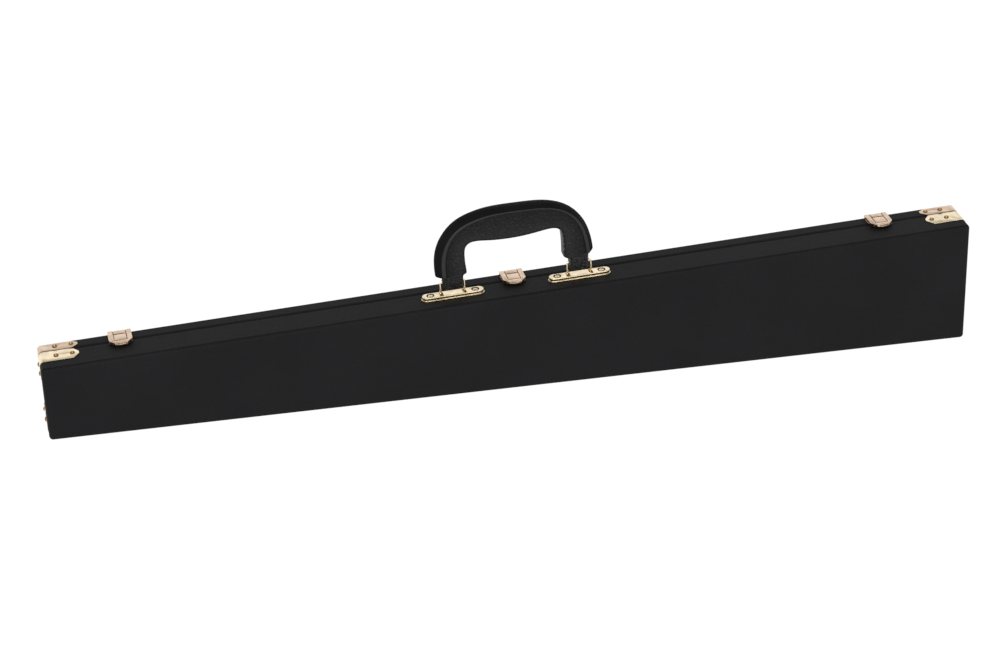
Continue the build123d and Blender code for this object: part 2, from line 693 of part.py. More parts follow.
def tongue(side):
    """The flat tongue that hangs from one shoulder, with a round lower edge."""
    x = side * POST_SPACING / 2
    half, deep = TONGUE_WIDTH / 2, TONGUE_T / 2
    body = sheet(-half, half, -deep, deep, TONGUE_LOW + deep, SHOULDER_H)
    body = body + bar_along_x(deep, TONGUE_WIDTH, 0, TONGUE_LOW + deep)
    return Pos(x, 0, 0) * body


def pivot_bores():
    """The holes for the upper bars of the two rings."""
    height = RING_AXIS_H + RING_HEIGHT
    bores = []
    for side, fit in ((-1, PIVOT_FIT), (1, OPEN_PIVOT_FIT)):
        bar = bar_along_x(WIRE_R + fit, 2 * TONGUE_WIDTH, 0, height)
        bores.append(Pos(side * POST_SPACING / 2, 0, 0) * bar)
    return bores


def core_blank():
    """The stiff arch inside the handle."""
    centre = POST_SPACING / 2
    top = HANDLE_TOP - CORE_TOP_INSET - CORE_WIDTH / 2
    side_top = HANDLE_TOP - CORE_TOP_INSET - CORE_SHOULDER_DROP
    flat_half = centre - CORE_SHOULDER_RUN
    path = FilletPolyline(
        (-centre, CORE_LOW), (-centre, side_top), (-flat_half, top),
        (flat_half, top), (centre, side_top), (centre, CORE_LOW),
        radius=CORE_BEND_R,
    )
    shape = trace(path, line_width=CORE_WIDTH)
    return extrude(Plane.XZ * shape, amount=CORE_T / 2, both=True)


def handle_core():
    core = core_blank()
    for bore in pivot_bores():
        core = core - bore
    return core


def handle_grip():
    """The padded leather round the core."""
    body = handle_blank() + tongue(-1) + tongue(1)
    for side in (-1, 1):
        for edge in (-1, 1):
            x = side * POST_SPACING / 2 + edge * (TONGUE_WIDTH / 2 + SHOULDER_NOTCH_R * 0.75)
            body = body - Pos(x, 0, SHOULDER_H) * Rot(90, 0, 0) * Cylinder(SHOULDER_NOTCH_R, 2 * HANDLE_T)
    body = body - core_blank()
    for bore in pivot_bores():
        body = body - bore
    return body


# Assembly

def build():
    """Every piece by name, in its place."""
    pieces = {}
    shells = {BASE: {}, LID: {}}
    fasteners = {BASE: [], LID: []}
    let_in = {BASE: [], LID: []}

    for shell in (BASE, LID):
        shells[shell].update(wooden_parts(shell))
        shells[shell].update(covering(shell))
        nails = []
        for level in ("top", "bottom"):
            for end in ("narrow", "wide"):
                plate = corner_plate(shell, end, level)
                own = corner_nails(shell, end, level)
                pieces[f"{shell}_corner_{level}_{end}"] = cut_by(plate, own)
                nails += own
                if level == "bottom":
                    let_in[shell].append(plate)
        pieces[shell + "_corner_nails"] = nails
        fasteners[shell] += nails

        leaves, rivets = [], []
        for x in HINGE_PLACES:
            leaf = hinge_leaf(x, shell)
            own = hinge_rivets(x, shell)
            leaves.append(cut_by(leaf, own))
            rivets += own
            half = HINGE_LENGTH / 2 + HINGE_CLEARANCE
            let_in[shell] += [leaf, hinge_knuckle(x - half, x + half, HINGE_KNUCKLE_R + HINGE_CLEARANCE)]
        pieces[f"hinge_{shell}_leaves"] = leaves
        pieces[f"hinge_{shell}_rivets"] = rivets
        fasteners[shell] += rivets

    pieces["hinge_pins"] = [
        hinge_knuckle(x - HINGE_LENGTH / 2, x + HINGE_LENGTH / 2, HINGE_PIN_R) for x in HINGE_PLACES
    ]

    plate_rivets, strike_rivets = [], []
    for name in LATCH_PLACES:
        frame = latch_frame(name)
        lid_x, lid_v = LID_RIVET_PLACE
        base_x, base_v = STRIKE_RIVET_PLACE
        lid_own = [frame * small_rivet(side * lid_x, lid_v) for side in (-1, 1)]
        base_own = [frame * small_rivet(side * base_x, base_v) for side in (-1, 1)]
        pieces["latch_plate_" + name] = cut_by(frame * latch_plate(), lid_own)
        pieces["latch_strike_" + name] = cut_by(frame * strike_plate(), base_own)
        pieces["latch_lever_" + name] = frame * latch_lever()
        plate_rivets += lid_own
        strike_rivets += base_own
    pieces["latch_pins"] = [latch_frame(name) * latch_pin() for name in LATCH_PLACES]
    pieces["latch_plate_rivets"] = plate_rivets
    pieces["latch_strike_rivets"] = strike_rivets
    fasteners[LID] += plate_rivets
    fasteners[BASE] += strike_rivets

    bracket_rivets = []
    for name in POST_PLACES:
        frame = post_frame(name)
        own = [frame * bracket_rivet(side) for side in (-1, 1)]
        pieces["bracket_flange_" + name] = cut_by(frame * bracket_flange(), own)
        pieces["bracket_cover_" + name] = cut_by(frame * bracket_cover(), own)
        pieces["handle_ring_" + name] = frame * handle_ring()
        bracket_rivets += own
    pieces["bracket_rivets"] = bracket_rivets
    fasteners[BASE] += bracket_rivets
    pieces["handle_core"] = handle_frame() * handle_core()
    pieces["handle_grip"] = handle_frame() * handle_grip()

    for shell in (BASE, LID):
        for name, solid in shells[shell].items():
            cut = cut_by(solid, let_in[shell] + fasteners[shell])
            pieces[name] = cut.solids().sort_by(SortBy.VOLUME)[-1]
        pieces[shell + "_lining"] = lining(shell)

    screws = []
    for name, x in (("tip", TIP_REST_X), ("frog", FROG_REST_X)):
        screw = clip_screw(x)
        pieces[name + "_rest"] = cut_by(bow_rest(x), [screw])
        pieces[name + "_clip"] = bow_clip(x)
        screws.append(screw)
    pieces["clip_screws"] = screws
    return pieces


def save(pieces):
    for name, shape in pieces.items():
        solids = shape if isinstance(shape, list) else [shape]
        solids = [s for item in solids for s in item.solids()]
        whole = solids[0] if len(solids) == 1 else Compound(children=solids)
        whole.label = name
        export_step(whole, f"parts/{name}.step")


os.makedirs("parts", exist_ok=True)
save(build())
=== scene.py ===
import json
import math

import bpy
from mathutils import Matrix, Vector

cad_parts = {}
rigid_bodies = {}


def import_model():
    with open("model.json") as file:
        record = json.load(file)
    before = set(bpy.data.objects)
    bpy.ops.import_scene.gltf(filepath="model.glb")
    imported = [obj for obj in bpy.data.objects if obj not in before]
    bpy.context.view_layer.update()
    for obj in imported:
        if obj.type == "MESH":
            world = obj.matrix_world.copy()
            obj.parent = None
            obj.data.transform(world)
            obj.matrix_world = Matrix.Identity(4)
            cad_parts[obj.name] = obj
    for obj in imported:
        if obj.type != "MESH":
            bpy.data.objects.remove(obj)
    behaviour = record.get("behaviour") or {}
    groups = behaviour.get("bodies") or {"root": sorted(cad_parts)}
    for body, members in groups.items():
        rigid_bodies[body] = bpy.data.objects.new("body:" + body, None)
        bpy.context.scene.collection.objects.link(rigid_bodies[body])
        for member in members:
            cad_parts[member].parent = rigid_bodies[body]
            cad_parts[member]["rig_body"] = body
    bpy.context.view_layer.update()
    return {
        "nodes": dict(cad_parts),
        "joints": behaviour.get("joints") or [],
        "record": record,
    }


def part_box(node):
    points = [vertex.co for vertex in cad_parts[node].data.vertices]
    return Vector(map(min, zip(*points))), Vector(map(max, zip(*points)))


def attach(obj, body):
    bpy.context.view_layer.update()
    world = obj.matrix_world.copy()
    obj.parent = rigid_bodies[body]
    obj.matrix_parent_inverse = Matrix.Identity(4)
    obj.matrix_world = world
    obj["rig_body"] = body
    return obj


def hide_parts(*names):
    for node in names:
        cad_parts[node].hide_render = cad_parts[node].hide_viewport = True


bl_info = {
    "name": "Bow Case Dresser",
    "version": (1, 0, 0),
    "blender": (4, 5, 0),
    "location": "View3D > Sidebar > Bow Case",
    "description": "Dresses the bow case model with its handle, fittings, finishes and studio",
    "category": "Object",
}

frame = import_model()
JOINTS = {joint["name"]: joint for joint in frame["joints"]}

# Every size here is in metres, as the frame is
MM = 0.001
SHELLS = ("base", "lid")
ENDS = ("narrow", "wide")
LATCHES = ("narrow", "middle", "wide")
MERGE_DISTANCE = 0.002 * MM
# How near two places or two lengths of the model are when they count as the same
SAME_PLACE = 0.01 * MM
SAME_LENGTH = 0.02 * MM
FLAT_ANGLE = math.radians(0.6)
SMOOTH_ANGLE = math.radians(38)
TURNED_ANGLE = math.radians(50)
PADDED_ANGLE = math.radians(60)
REST_ANGLE = math.radians(70)
PLATE_THICKNESS = 0.5 * MM


# Places on the sloping top edge, taken from the joints of the two handle rings

def edge_frame():
    """The middle of the handle on the top edge, the way along the edge and the way out of it."""
    narrow = Vector(JOINTS["ring_swing_narrow"]["pos_m"])
    wide = Vector(JOINTS["ring_swing_wide"]["pos_m"])
    along = Vector(JOINTS["ring_swing_wide"]["axis"]).normalized()
    out = Vector((-along.z, 0, along.x))
    return (narrow + wide) / 2, along, out


RING_AXIS_HEIGHT = 1.7 * MM
RING_CENTRE, ALONG, OUT = edge_frame()
HANDLE_FOOT = RING_CENTRE - OUT * RING_AXIS_HEIGHT
DEPTH = Vector((0, 1, 0))


def handle_point(x, y, height):
    """A place in the handle's own frame, in millimetres, as a place in the frame of the case."""
    return HANDLE_FOOT + ALONG * (x * MM) + DEPTH * (y * MM) + OUT * (height * MM)


# Sizes and colours that a user would change

class CaseSizes(bpy.types.PropertyGroup):
    """Sizes of what the dresser adds to the case."""

    plate_edge: bpy.props.FloatProperty(
        name="Plate edge", description="Rounding on the edges of the corner plates",
        default=0.12 * MM, unit="LENGTH", precision=5,
    )
    plate_tip: bpy.props.FloatProperty(
        name="Lid plate tip", description="Rounding on the tips of the lid's corner plates",
        default=1.6 * MM, unit="LENGTH", precision=5,
    )
    latch_edge: bpy.props.FloatProperty(
        name="Latch edge", description="Rounding on the edges of the latches",
        default=0.14 * MM, unit="LENGTH", precision=5,
    )
    latch_joint: bpy.props.FloatProperty(
        name="Latch joint", description="Extra width of the joints in a lever's window",
        default=0.35 * MM, unit="LENGTH", precision=5,
    )
    bracket_edge: bpy.props.FloatProperty(
        name="Bracket edge", description="Rounding on the flanges of the handle brackets",
        default=0.15 * MM, unit="LENGTH", precision=5,
    )
    nail_radius: bpy.props.FloatProperty(
        name="Nail radius", description="Radius of a corner nail's head",
        default=2.0 * MM, unit="LENGTH", precision=5,
    )
    grain: bpy.props.FloatProperty(
        name="Leatherette grain", description="Width of a grain in the leatherette",
        default=1.0 * MM, unit="LENGTH", precision=5,
    )
    pebble: bpy.props.FloatProperty(
        name="Leather pebble", description="Width of a pebble in the leather of the handle",
        default=2.4 * MM, unit="LENGTH", precision=5,
    )
    rest_rounding: bpy.props.IntProperty(
        name="Rest rounding", description="Smoothing passes on the padded rests",
        default=6, min=0, max=30,
    )


class CaseColours(bpy.types.PropertyGroup):
    """Colours of the case's finishes, as sRGB hex values."""

    leatherette: bpy.props.StringProperty(
        name="Leatherette", description="Covering of the case", default="19191B",
    )
    leather: bpy.props.StringProperty(
        name="Leather", description="Faces of the handle", default="1C1C1E",
    )
    # Painted shade: a darker, duller copy of the handle's leather for its outer band and the seam
    # inside the ridge, which face the light more
    edge_leather: bpy.props.StringProperty(
        name="Edge leather", description="Outer band of the handle", default="1A1A1B",
    )
    # Painted highlight: a lighter copy of the handle's leather for the raised welt, in place of the
    # glint along it
    ridge_leather: bpy.props.StringProperty(
        name="Ridge leather", description="Raised welt inside the outer band", default="262628",
    )
    yellow: bpy.props.StringProperty(
        name="Yellow brass", description="Brackets, rings and base plates", default="F6E3C2",
    )
    rose: bpy.props.StringProperty(
        name="Rose brass", description="Latches and lid plates", default="DEC4AB",
    )
    bronze: bpy.props.StringProperty(
        name="Bronze", description="Nails and small rivets", default="9A7442",
    )
    # Painted highlight: a lighter bronze on the corner nails' crowns, in place of the glint on
    # their domes
    rubbed: bpy.props.StringProperty(
        name="Rubbed bronze", description="Crowns of the corner nails", default="C6A67C",
    )
    # Painted shade: a dark brass for faces in shade, the strikes' feet under the levers and the
    # sunk rings round the bracket rivets
    strike: bpy.props.StringProperty(
        name="Strike", description="Dull face of the latch strikes", default="3A2F26",
    )
    plush: bpy.props.StringProperty(
        name="Plush", description="Linings and rests", default="5A1420",
    )
    plywood: bpy.props.StringProperty(
        name="Plywood", description="Wood of the two shells", default="C9A777",
    )
    plastic: bpy.props.StringProperty(
        name="Plastic", description="The two bow clips", default="17171A",
    )
    studio: bpy.props.StringProperty(
        name="Studio", description="Floor and background", default="FFFFFF",
    )


def sizes():
    """The sizes that are set in the panel."""
    return bpy.context.scene.case_sizes


def colours():
    """The colours that are set in the panel."""
    return bpy.context.scene.case_colours


# The sRGB curve: where its straight part ends, that part's slope, and the offset and power above it
SRGB_KNEE = 0.04045
SRGB_SLOPE = 12.92
SRGB_OFFSET = 0.055
SRGB_POWER = 2.4
CHANNEL_MAX = 255


def channels_of(hex_value):
    """The red, green and blue of a hex value, as whole numbers."""
    return [int(hex_value[i:i + 2], 16) for i in (0, 2, 4)]


def linear(hex_value):
    """An sRGB hex value as the linear colour that a shader takes."""
    colour = []
    for channel in channels_of(hex_value):
        share = channel / CHANNEL_MAX
        curved = ((share + SRGB_OFFSET) / (1 + SRGB_OFFSET)) ** SRGB_POWER
        colour.append(share / SRGB_SLOPE if share <= SRGB_KNEE else curved)
    return colour + [1.0]


def shade(hex_value, amount):
    """The same colour made lighter or darker, as hex."""
    channels = [min(CHANNEL_MAX, round(channel * amount)) for channel in channels_of(hex_value)]
    return "".join(f"{channel:02X}" for channel in channels)


# Materials

def add_node(tree, kind, settings=None, links=None):
    """A shader node with its settings, and with values or links on its inputs by name or number."""
    node = tree.nodes.new(kind)
    for key, value in (settings or {}).items():
        setattr(node, key, value)
    for key, value in (links or {}).items():
        socket = node.inputs[key]
        if isinstance(value, bpy.types.NodeSocket):
            tree.links.new(value, socket)
        else:
            socket.default_value = value
    return node


def new_material(name):
    """An empty node material: the material, its tree, its shader and its Object coordinates."""
    material = bpy.data.materials.new(name)
    material.use_nodes = True
    tree = material.node_tree
    shader = tree.nodes["Principled BSDF"]
    place = add_node(tree, "ShaderNodeTexCoord").outputs["Object"]
    return material, tree, shader, place


def noise(tree, place, scale, detail, distortion=0.0):
    """A soft noise pattern."""
    links = {"Vector": place, "Scale": scale, "Detail": detail, "Distortion": distortion}
    return add_node(tree, "ShaderNodeTexNoise", None, links)


def stretched(tree, place, share):
    """Places that change more slowly along the case, which draws a pattern out that way."""
    links = {"Vector": place, "Scale": (share, 1.0, 1.0)}
    return add_node(tree, "ShaderNodeMapping", None, links).outputs["Vector"]


# Where in a noise's 0 to 1 its darker and its lighter tone are reached
TONE_ENDS = (0.35, 0.65)


def two_tones(tree, pattern, colour, tones, ends=TONE_ENDS):
    """A pattern of a darker and a lighter tone of one colour, each a share of its brightness."""
    ramp = add_node(tree, "ShaderNodeValToRGB", None, {"Fac": pattern.outputs["Fac"]})
    for element, position, tone in zip(ramp.color_ramp.elements, ends, tones):
        element.position = position
        element.color = linear(shade(colour, tone))
    return ramp.outputs["Color"]


def drift(tree, place, colour, tones, patch):
    """A soft drift between two tones of one colour, in patches of the given width."""
    return two_tones(tree, noise(tree, place, 1 / patch, detail=3.0), colour, tones)


def spread(tree, value, low, high, start=0.0, end=1.0):
    """A value that goes from low to high while another goes from start to end."""
    links = {"Value": value, "From Min": start, "From Max": end, "To Min": low, "To Max": high}
    return add_node(tree, "ShaderNodeMapRange", None, links).outputs["Result"]


def math_node(tree, operation, *values):
    """The result of one sum on values or sockets."""
    node = add_node(tree, "ShaderNodeMath", {"operation": operation}, dict(enumerate(values)))
    return node.outputs["Value"]


def scaled_by(tree, vector, share):
    """A colour or a vector made larger or smaller by a share."""
    links = {0: vector, "Scale": share}
    return add_node(tree, "ShaderNodeVectorMath", {"operation": "SCALE"}, links).outputs["Vector"]


def emboss(tree, shader, height, strength, distance):
    """Gives a material the relief of a pattern of heights."""
    links = {"Height": height, "Strength": strength, "Distance": distance}
    bump = add_node(tree, "ShaderNodeBump", None, links)
    tree.links.new(bump.outputs["Normal"], shader.inputs["Normal"])


def roughen(tree, shader, pattern, rough, lower, upper):
    """Lets a material's roughness vary with a pattern, so much below and above its usual value."""
    varied = spread(tree, pattern, rough - lower, rough + upper)
    tree.links.new(varied, shader.inputs["Roughness"])


def set_inputs(shader, values):
    """Sets a shader's inputs by name."""
    for key, value in values.items():
        shader.inputs[key].default_value = value


# The mesh attribute that holds how much shade is painted on the handle's leather, darker and
# duller; below zero it is painted light
PAINTED_SHADING = "hollow"
# How fine the noise that bends the grains is beside them, how fine the texture on them is, and how
# much of their height that texture has
WARP_SCALE = 0.4
FINE_SCALE = 3
FINE_SHARE = 0.25
GRAIN_SMOOTHNESS = 0.35
LEATHER_TONES = (0.92, 1.08)
CASE_PATCH = 60 * MM


def leather_finish(
    name, colour, grain, rough, depth,
    patch=CASE_PATCH, gloss=0.12, crease_shade=0.72, reach=0.2, hollow=False,
):
    """Leather or leatherette: rounded grains with fine creases between them.

    The colour drifts in patches. In the creases between grains shade is painted into the colour: it
    keeps the share given by the argument for crease shade, and that painted shade fades over reach,
    a part of a grain's width. With its flag set, a mesh attribute paints shade on the colour and
    the gloss, and light where it is below zero."""
    material, tree, shader, place = new_material(name)
    warp = noise(tree, place, WARP_SCALE / grain, detail=2.0)
    shift = scaled_by(tree, warp.outputs["Color"], grain)
    moved = add_node(tree, "ShaderNodeVectorMath", {"operation": "ADD"}, {0: place, 1: shift})
    cells = add_node(
        tree, "ShaderNodeTexVoronoi", {"feature": "SMOOTH_F1"},
        {"Vector": moved.outputs["Vector"], "Scale": 1 / grain, "Smoothness": GRAIN_SMOOTHNESS},
    )
    creases = add_node(
        tree, "ShaderNodeTexVoronoi", {"feature": "DISTANCE_TO_EDGE"},
        {"Vector": moved.outputs["Vector"], "Scale": 1 / grain},
    )
    raised = math_node(tree, "SUBTRACT", 1.0, cells.outputs["Distance"])
    fine = noise(tree, place, FINE_SCALE / grain, detail=3.0)
    height = math_node(tree, "MULTIPLY_ADD", fine.outputs["Fac"], FINE_SHARE, raised)
    tone = drift(tree, place, colour, LEATHER_TONES, patch)
    # Painted shade: the colour is darker in the creases between grains
    share = spread(tree, creases.outputs["Distance"], crease_shade, 1.0, end=reach)
    set_inputs(shader, {"Specular IOR Level": gloss})
    # Painted shade and light: the attribute darkens the colour and the gloss where shade would
    # fall, and lightens them where it is below zero
    if hollow:
        painted_shading_input = add_node(tree, "ShaderNodeAttribute", {"attribute_name": PAINTED_SHADING})
        painted_shading_share = math_node(tree, "SUBTRACT", 1.0, painted_shading_input.outputs["Fac"])
        share = math_node(tree, "MULTIPLY", share, painted_shading_share)
        sheen = math_node(tree, "MULTIPLY", painted_shading_share, gloss)
        tree.links.new(sheen, shader.inputs["Specular IOR Level"])
    tree.links.new(scaled_by(tree, tone, share), shader.inputs["Base Color"])
    emboss(tree, shader, height, strength=1.0, distance=depth)
    roughen(tree, shader, cells.outputs["Distance"], rough, lower=0.08, upper=0.1)
    return material


# Painted shade in the brass's recesses: how far round a point the brass looks for what closes it
# in, how open the point is where the painted shade is full and where it ends, and the share of its
# colour that brass keeps under full painted shade
PAINTED_SHADE_REACH = 1.6 * MM
PAINTED_SHADE_FROM = 0.42
PAINTED_SHADE_TO = 0.82
PAINTED_SHADE_KEPT = 0.08
PAINTED_SHADE_SAMPLES = 8
# Width of a polishing line, and how much of their usual rate the lines have along the case
BRUSH_WIDTH = 0.25 * MM
BRUSH_STRETCH = 0.06
BRASS_TONES = (0.93, 1.05)
BRASS_PATCH = 6 * MM


def brass_finish(name, colour, rough):
    """Plated brass: a bright metal with faint polishing lines, and painted shade that darkens its
    recesses.
    """
    material, tree, shader, place = new_material(name)
    tone = drift(tree, place, colour, BRASS_TONES, BRASS_PATCH)
    # Painted shade: the colour is darkened where nearby faces close a point in, in place of shade
    # and dark reflections
    hollow = add_node(
        tree, "ShaderNodeAmbientOcclusion",
        {"samples": PAINTED_SHADE_SAMPLES}, {"Distance": PAINTED_SHADE_REACH},
    )
    painted_shading_share = spread(tree, hollow.outputs["AO"], PAINTED_SHADE_KEPT, 1.0, PAINTED_SHADE_FROM, PAINTED_SHADE_TO)
    drawn = stretched(tree, place, BRUSH_STRETCH)
    lines = noise(tree, drawn, 1 / BRUSH_WIDTH, detail=2.0).outputs["Fac"]
    tree.links.new(scaled_by(tree, tone, painted_shading_share), shader.inputs["Base Color"])
    emboss(tree, shader, lines, strength=0.12, distance=0.02 * MM)
    roughen(tree, shader, lines, rough, lower=0.05, upper=0.08)
    set_inputs(shader, {"Metallic": 1.0})
    return material


# Widths of a tuft of the plush, of a grain of the wood and of a dimple of the moulded plastic, and
# how much of its usual rate the wood's grain has along the case
PILE_WIDTH = 0.7 * MM
WOOD_GRAIN = 1.5 * MM
PEEL_WIDTH = 1.2 * MM
WOOD_STRETCH = 0.05
PLUSH_TONES = (0.7, 1.15)
PLUSH_PATCH = 14 * MM
WOOD_TONES = (0.72, 1.08)
PLASTIC_TONES = (0.95, 1.05)
PLASTIC_PATCH = 8 * MM


def plush_finish(name, colour):
    """Short plush: a dense pile that brightens at its edges and shows where it has been stroked."""
    material, tree, shader, place = new_material(name)
    tone = drift(tree, place, colour, PLUSH_TONES, PLUSH_PATCH)
    tree.links.new(tone, shader.inputs["Base Color"])
    pile = noise(tree, place, 1 / PILE_WIDTH, detail=4.0)
    emboss(tree, shader, pile.outputs["Fac"], strength=0.7, distance=0.3 * MM)
    set_inputs(shader, {
        "Roughness": 0.95, "Specular IOR Level": 0.1, "Sheen Weight": 0.35, "Sheen Roughness": 0.4,
    })
    return material


def plywood_finish(name, colour):
    """Bare plywood: long pale grain along the case with darker streaks."""
    material, tree, shader, place = new_material(name)
    drawn = stretched(tree, place, WOOD_STRETCH)
    grain = noise(tree, drawn, 1 / WOOD_GRAIN, detail=5.0, distortion=0.6)
    tone = two_tones(tree, grain, colour, WOOD_TONES, ends=(0.0, 1.0))
    tree.links.new(tone, shader.inputs["Base Color"])
    emboss(tree, shader, grain.outputs["Fac"], strength=0.3, distance=0.1 * MM)
    set_inputs(shader, {"Roughness": 0.7})
    return material


def plastic_finish(name, colour, rough):
    """Moulded plastic: smooth, with the faint orange peel of a moulded face."""
    material, tree, shader, place = new_material(name)
    peel = noise(tree, place, 1 / PEEL_WIDTH, detail=1.0).outputs["Fac"]
    tone = drift(tree, place, colour, PLASTIC_TONES, PLASTIC_PATCH)
    tree.links.new(tone, shader.inputs["Base Color"])
    emboss(tree, shader, peel, strength=0.1, distance=0.03 * MM)
    roughen(tree, shader, peel, rough, lower=0.04, upper=0.06)
    return material


FINISHES = {}
# How wide the patches are in which the colour drifts on the handle
HANDLE_PATCH = 20 * MM


def make_finishes():
    """The finishes of the case, by the record's slot."""
    hexes, size = colours(), sizes()
    FINISHES["leatherette"] = leather_finish(
        "black_leatherette", hexes.leatherette, size.grain, rough=0.62, depth=0.06 * MM,
    )
    FINISHES["grip_leather"] = leather_finish(
        "pebbled_leather", hexes.leather, size.pebble, rough=0.42, depth=0.8 * MM,
        patch=HANDLE_PATCH, gloss=0.25, crease_shade=0.2, reach=0.5, hollow=True,
    )
    # Painted highlight on the handle's raised welt
    FINISHES["ridge_leather"] = leather_finish(
        "ridge_leather", hexes.ridge_leather, size.grain, rough=0.42, depth=0.08 * MM,
        patch=HANDLE_PATCH, gloss=0.25,
    )
    # Painted shade on the outer band and the seam of the handle
    FINISHES["edge_leather"] = leather_finish(
        "smooth_edge_leather", hexes.edge_leather, size.grain, rough=0.6, depth=0.05 * MM,
        patch=HANDLE_PATCH, gloss=0.03,
    )
    FINISHES["yellow_brass"] = brass_finish("yellow_plated_brass", hexes.yellow, rough=0.2)
    FINISHES["rose_brass"] = brass_finish("rose_plated_brass", hexes.rose, rough=0.22)
    FINISHES["nail_bronze"] = brass_finish("bronzed_nails", hexes.bronze, rough=0.35)
    # Painted highlight on the nails' crowns
    FINISHES["rubbed_bronze"] = brass_finish("rubbed_bronze", hexes.rubbed, rough=0.3)
    # Painted shade for the strikes' feet and the bracket recesses
    FINISHES["dull_strike"] = brass_finish("dull_strike_brass", hexes.strike, rough=0.4)
    FINISHES["plush"] = plush_finish("wine_plush", hexes.plush)
    FINISHES["plywood"] = plywood_finish("bare_plywood", hexes.plywood)
    FINISHES["clip_plastic"] = plastic_finish("black_moulded_plastic", hexes.plastic, rough=0.3)
    FINISHES["moulded_core"] = plastic_finish("dull_moulded_core", hexes.plastic, rough=0.6)


# Modelling helpers

def only(piece):
    """Leaves one piece selected and active, in object mode."""
    if bpy.context.object and bpy.context.object.mode != "OBJECT":
        bpy.ops.object.mode_set(mode="OBJECT")
    bpy.ops.object.select_all(action="DESELECT")
    piece.select_set(True)
    bpy.context.view_layer.objects.active = piece


def edit(piece):
    """Edit mode on one piece, with nothing in it selected."""
    only(piece)
    bpy.ops.object.mode_set(mode="EDIT")
    bpy.ops.mesh.select_all(action="DESELECT")


def select_where(piece, kind, test):
    """Selects the faces, edges or vertices that pass a test, and goes on in edit mode."""
    bpy.ops.object.mode_set(mode="OBJECT")
    mesh = piece.data
    for group in (mesh.vertices, mesh.edges, mesh.polygons):
        for item in group:
            item.select = False
    for item in getattr(mesh, kind):
        item.select = test(item)
    bpy.ops.object.mode_set(mode="EDIT")
    mode = {"polygons": "FACE", "edges": "EDGE", "vertices": "VERT"}[kind]
    bpy.ops.mesh.select_mode(type=mode)


def apply_modifier(piece, kind, **settings):
    """A modifier added with its settings and applied."""
    only(piece)
    modifier = piece.modifiers.new(kind.title(), kind)
    for key, value in settings.items():
        setattr(modifier, key, value)
    bpy.ops.object.modifier_apply(modifier=modifier.name)


def bevelled(piece, width):
    """Breaks the sharp edges of a piece."""
    apply_modifier(
        piece, "BEVEL", width=width, segments=2, limit_method="ANGLE", angle_limit=SMOOTH_ANGLE,
    )


def smooth(piece, angle=SMOOTH_ANGLE):
    """Smooth shading, with the edges that turn by more than an angle left sharp."""
    only(piece)
    bpy.ops.object.shade_smooth_by_angle(angle=angle)


def copy_of(node, name):
    """A copy of a CAD node with its loose triangles joined to whole faces."""
    piece = bpy.data.objects.new(name, frame["nodes"][node].data.copy())
    bpy.context.scene.collection.objects.link(piece)
    only(piece)
    bpy.ops.mesh.customdata_custom_splitnormals_clear()
    edit(piece)
    bpy.ops.mesh.select_all(action="SELECT")
    bpy.ops.mesh.remove_doubles(threshold=MERGE_DISTANCE)
    bpy.ops.mesh.dissolve_limited(angle_limit=FLAT_ANGLE)
    bpy.ops.object.mode_set(mode="OBJECT")
    return piece


def place_piece(piece, finish, body, *nodes):
    """Gives a finished piece its material, its body and the nodes that it stands for."""
    piece.data.materials.clear()
    piece.data.materials.append(FINISHES[finish])
    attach(piece, body)
    if nodes:
        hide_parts(*nodes)


def body_of(node):
    """The body that a CAD node moves with."""
    return frame["nodes"][node]["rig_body"]


# How many faces a rounded tip of a plate and a lining's bend have
TIP_SEGMENTS = 4
BEND_SEGMENTS = 5


def rounded_tips(piece, thickness, radius):
    """Rounds the corners of a flat plate's face: the edges that are as long as it is thick."""
    edit(piece)
    points = piece.data.vertices

    def through(line):
        a, b = (points[v].co for v in line.vertices)
        return abs((a - b).length - thickness) < SAME_LENGTH

    select_where(piece, "edges", through)
    bpy.ops.mesh.bevel(offset=radius, segments=TIP_SEGMENTS, affect="EDGES", clamp_overlap=True)
    bpy.ops.object.mode_set(mode="OBJECT")


# What is lower than this on a latch plate or strike is its foot
STRIKE_FOOT_HEIGHT = 1.6 * MM
# Points of a plate that are nearer than this to its rearmost one are its rear edge
REAR_EDGE = 0.3 * MM


def eased(piece, gap):
    """Draws the raised part of a latch plate or strike in at its sides, so that the joints show."""
    raised = [v for v in piece.data.vertices if (v.co - HANDLE_FOOT).dot(OUT) > STRIKE_FOOT_HEIGHT]
    for way in (ALONG, DEPTH):
        places = [v.co.dot(way) for v in raised]
        middle = (max(places) + min(places)) / 2
        for vertex, spot in zip(raised, places):
            vertex.co -= way * math.copysign(gap, spot - middle)


def softened(node, finish, width, tip=0.0, trim=0.0, ease=0.0):
    """Stands for a CAD node with its sharp edges broken, as pressed metal has them.

    It can have its tips rounded, its rear edge brought forward and its raised part drawn in."""
    piece = copy_of(node, node + "_finished")
    if ease:
        eased(piece, ease)
    back = max(vertex.co.y for vertex in piece.data.vertices)
    for vertex in piece.data.vertices:
        if vertex.co.y > back - REAR_EDGE:
            vertex.co.y -= trim
    if tip:
        rounded_tips(piece, PLATE_THICKNESS, tip)
    bevelled(piece, width)
    smooth(piece)
    place_piece(piece, finish, body_of(node), node)
    return piece


def islands(node):
    """The separate solids of a node, each as the list of its points."""
    mesh = copy_of(node, "islands")
    count = len(mesh.data.vertices)
    owner = list(range(count))

    def root(i):
        while owner[i] != i:
            owner[i] = owner[owner[i]]
            i = owner[i]
        return i

    for line in mesh.data.edges:
        a, b = (root(v) for v in line.vertices)
        owner[a] = b
    groups = {}
    for i, vertex in enumerate(mesh.data.vertices):
        groups.setdefault(root(i), []).append(vertex.co.copy())
    data = mesh.data
    bpy.data.objects.remove(mesh)
    bpy.data.meshes.remove(data)
    return list(groups.values())


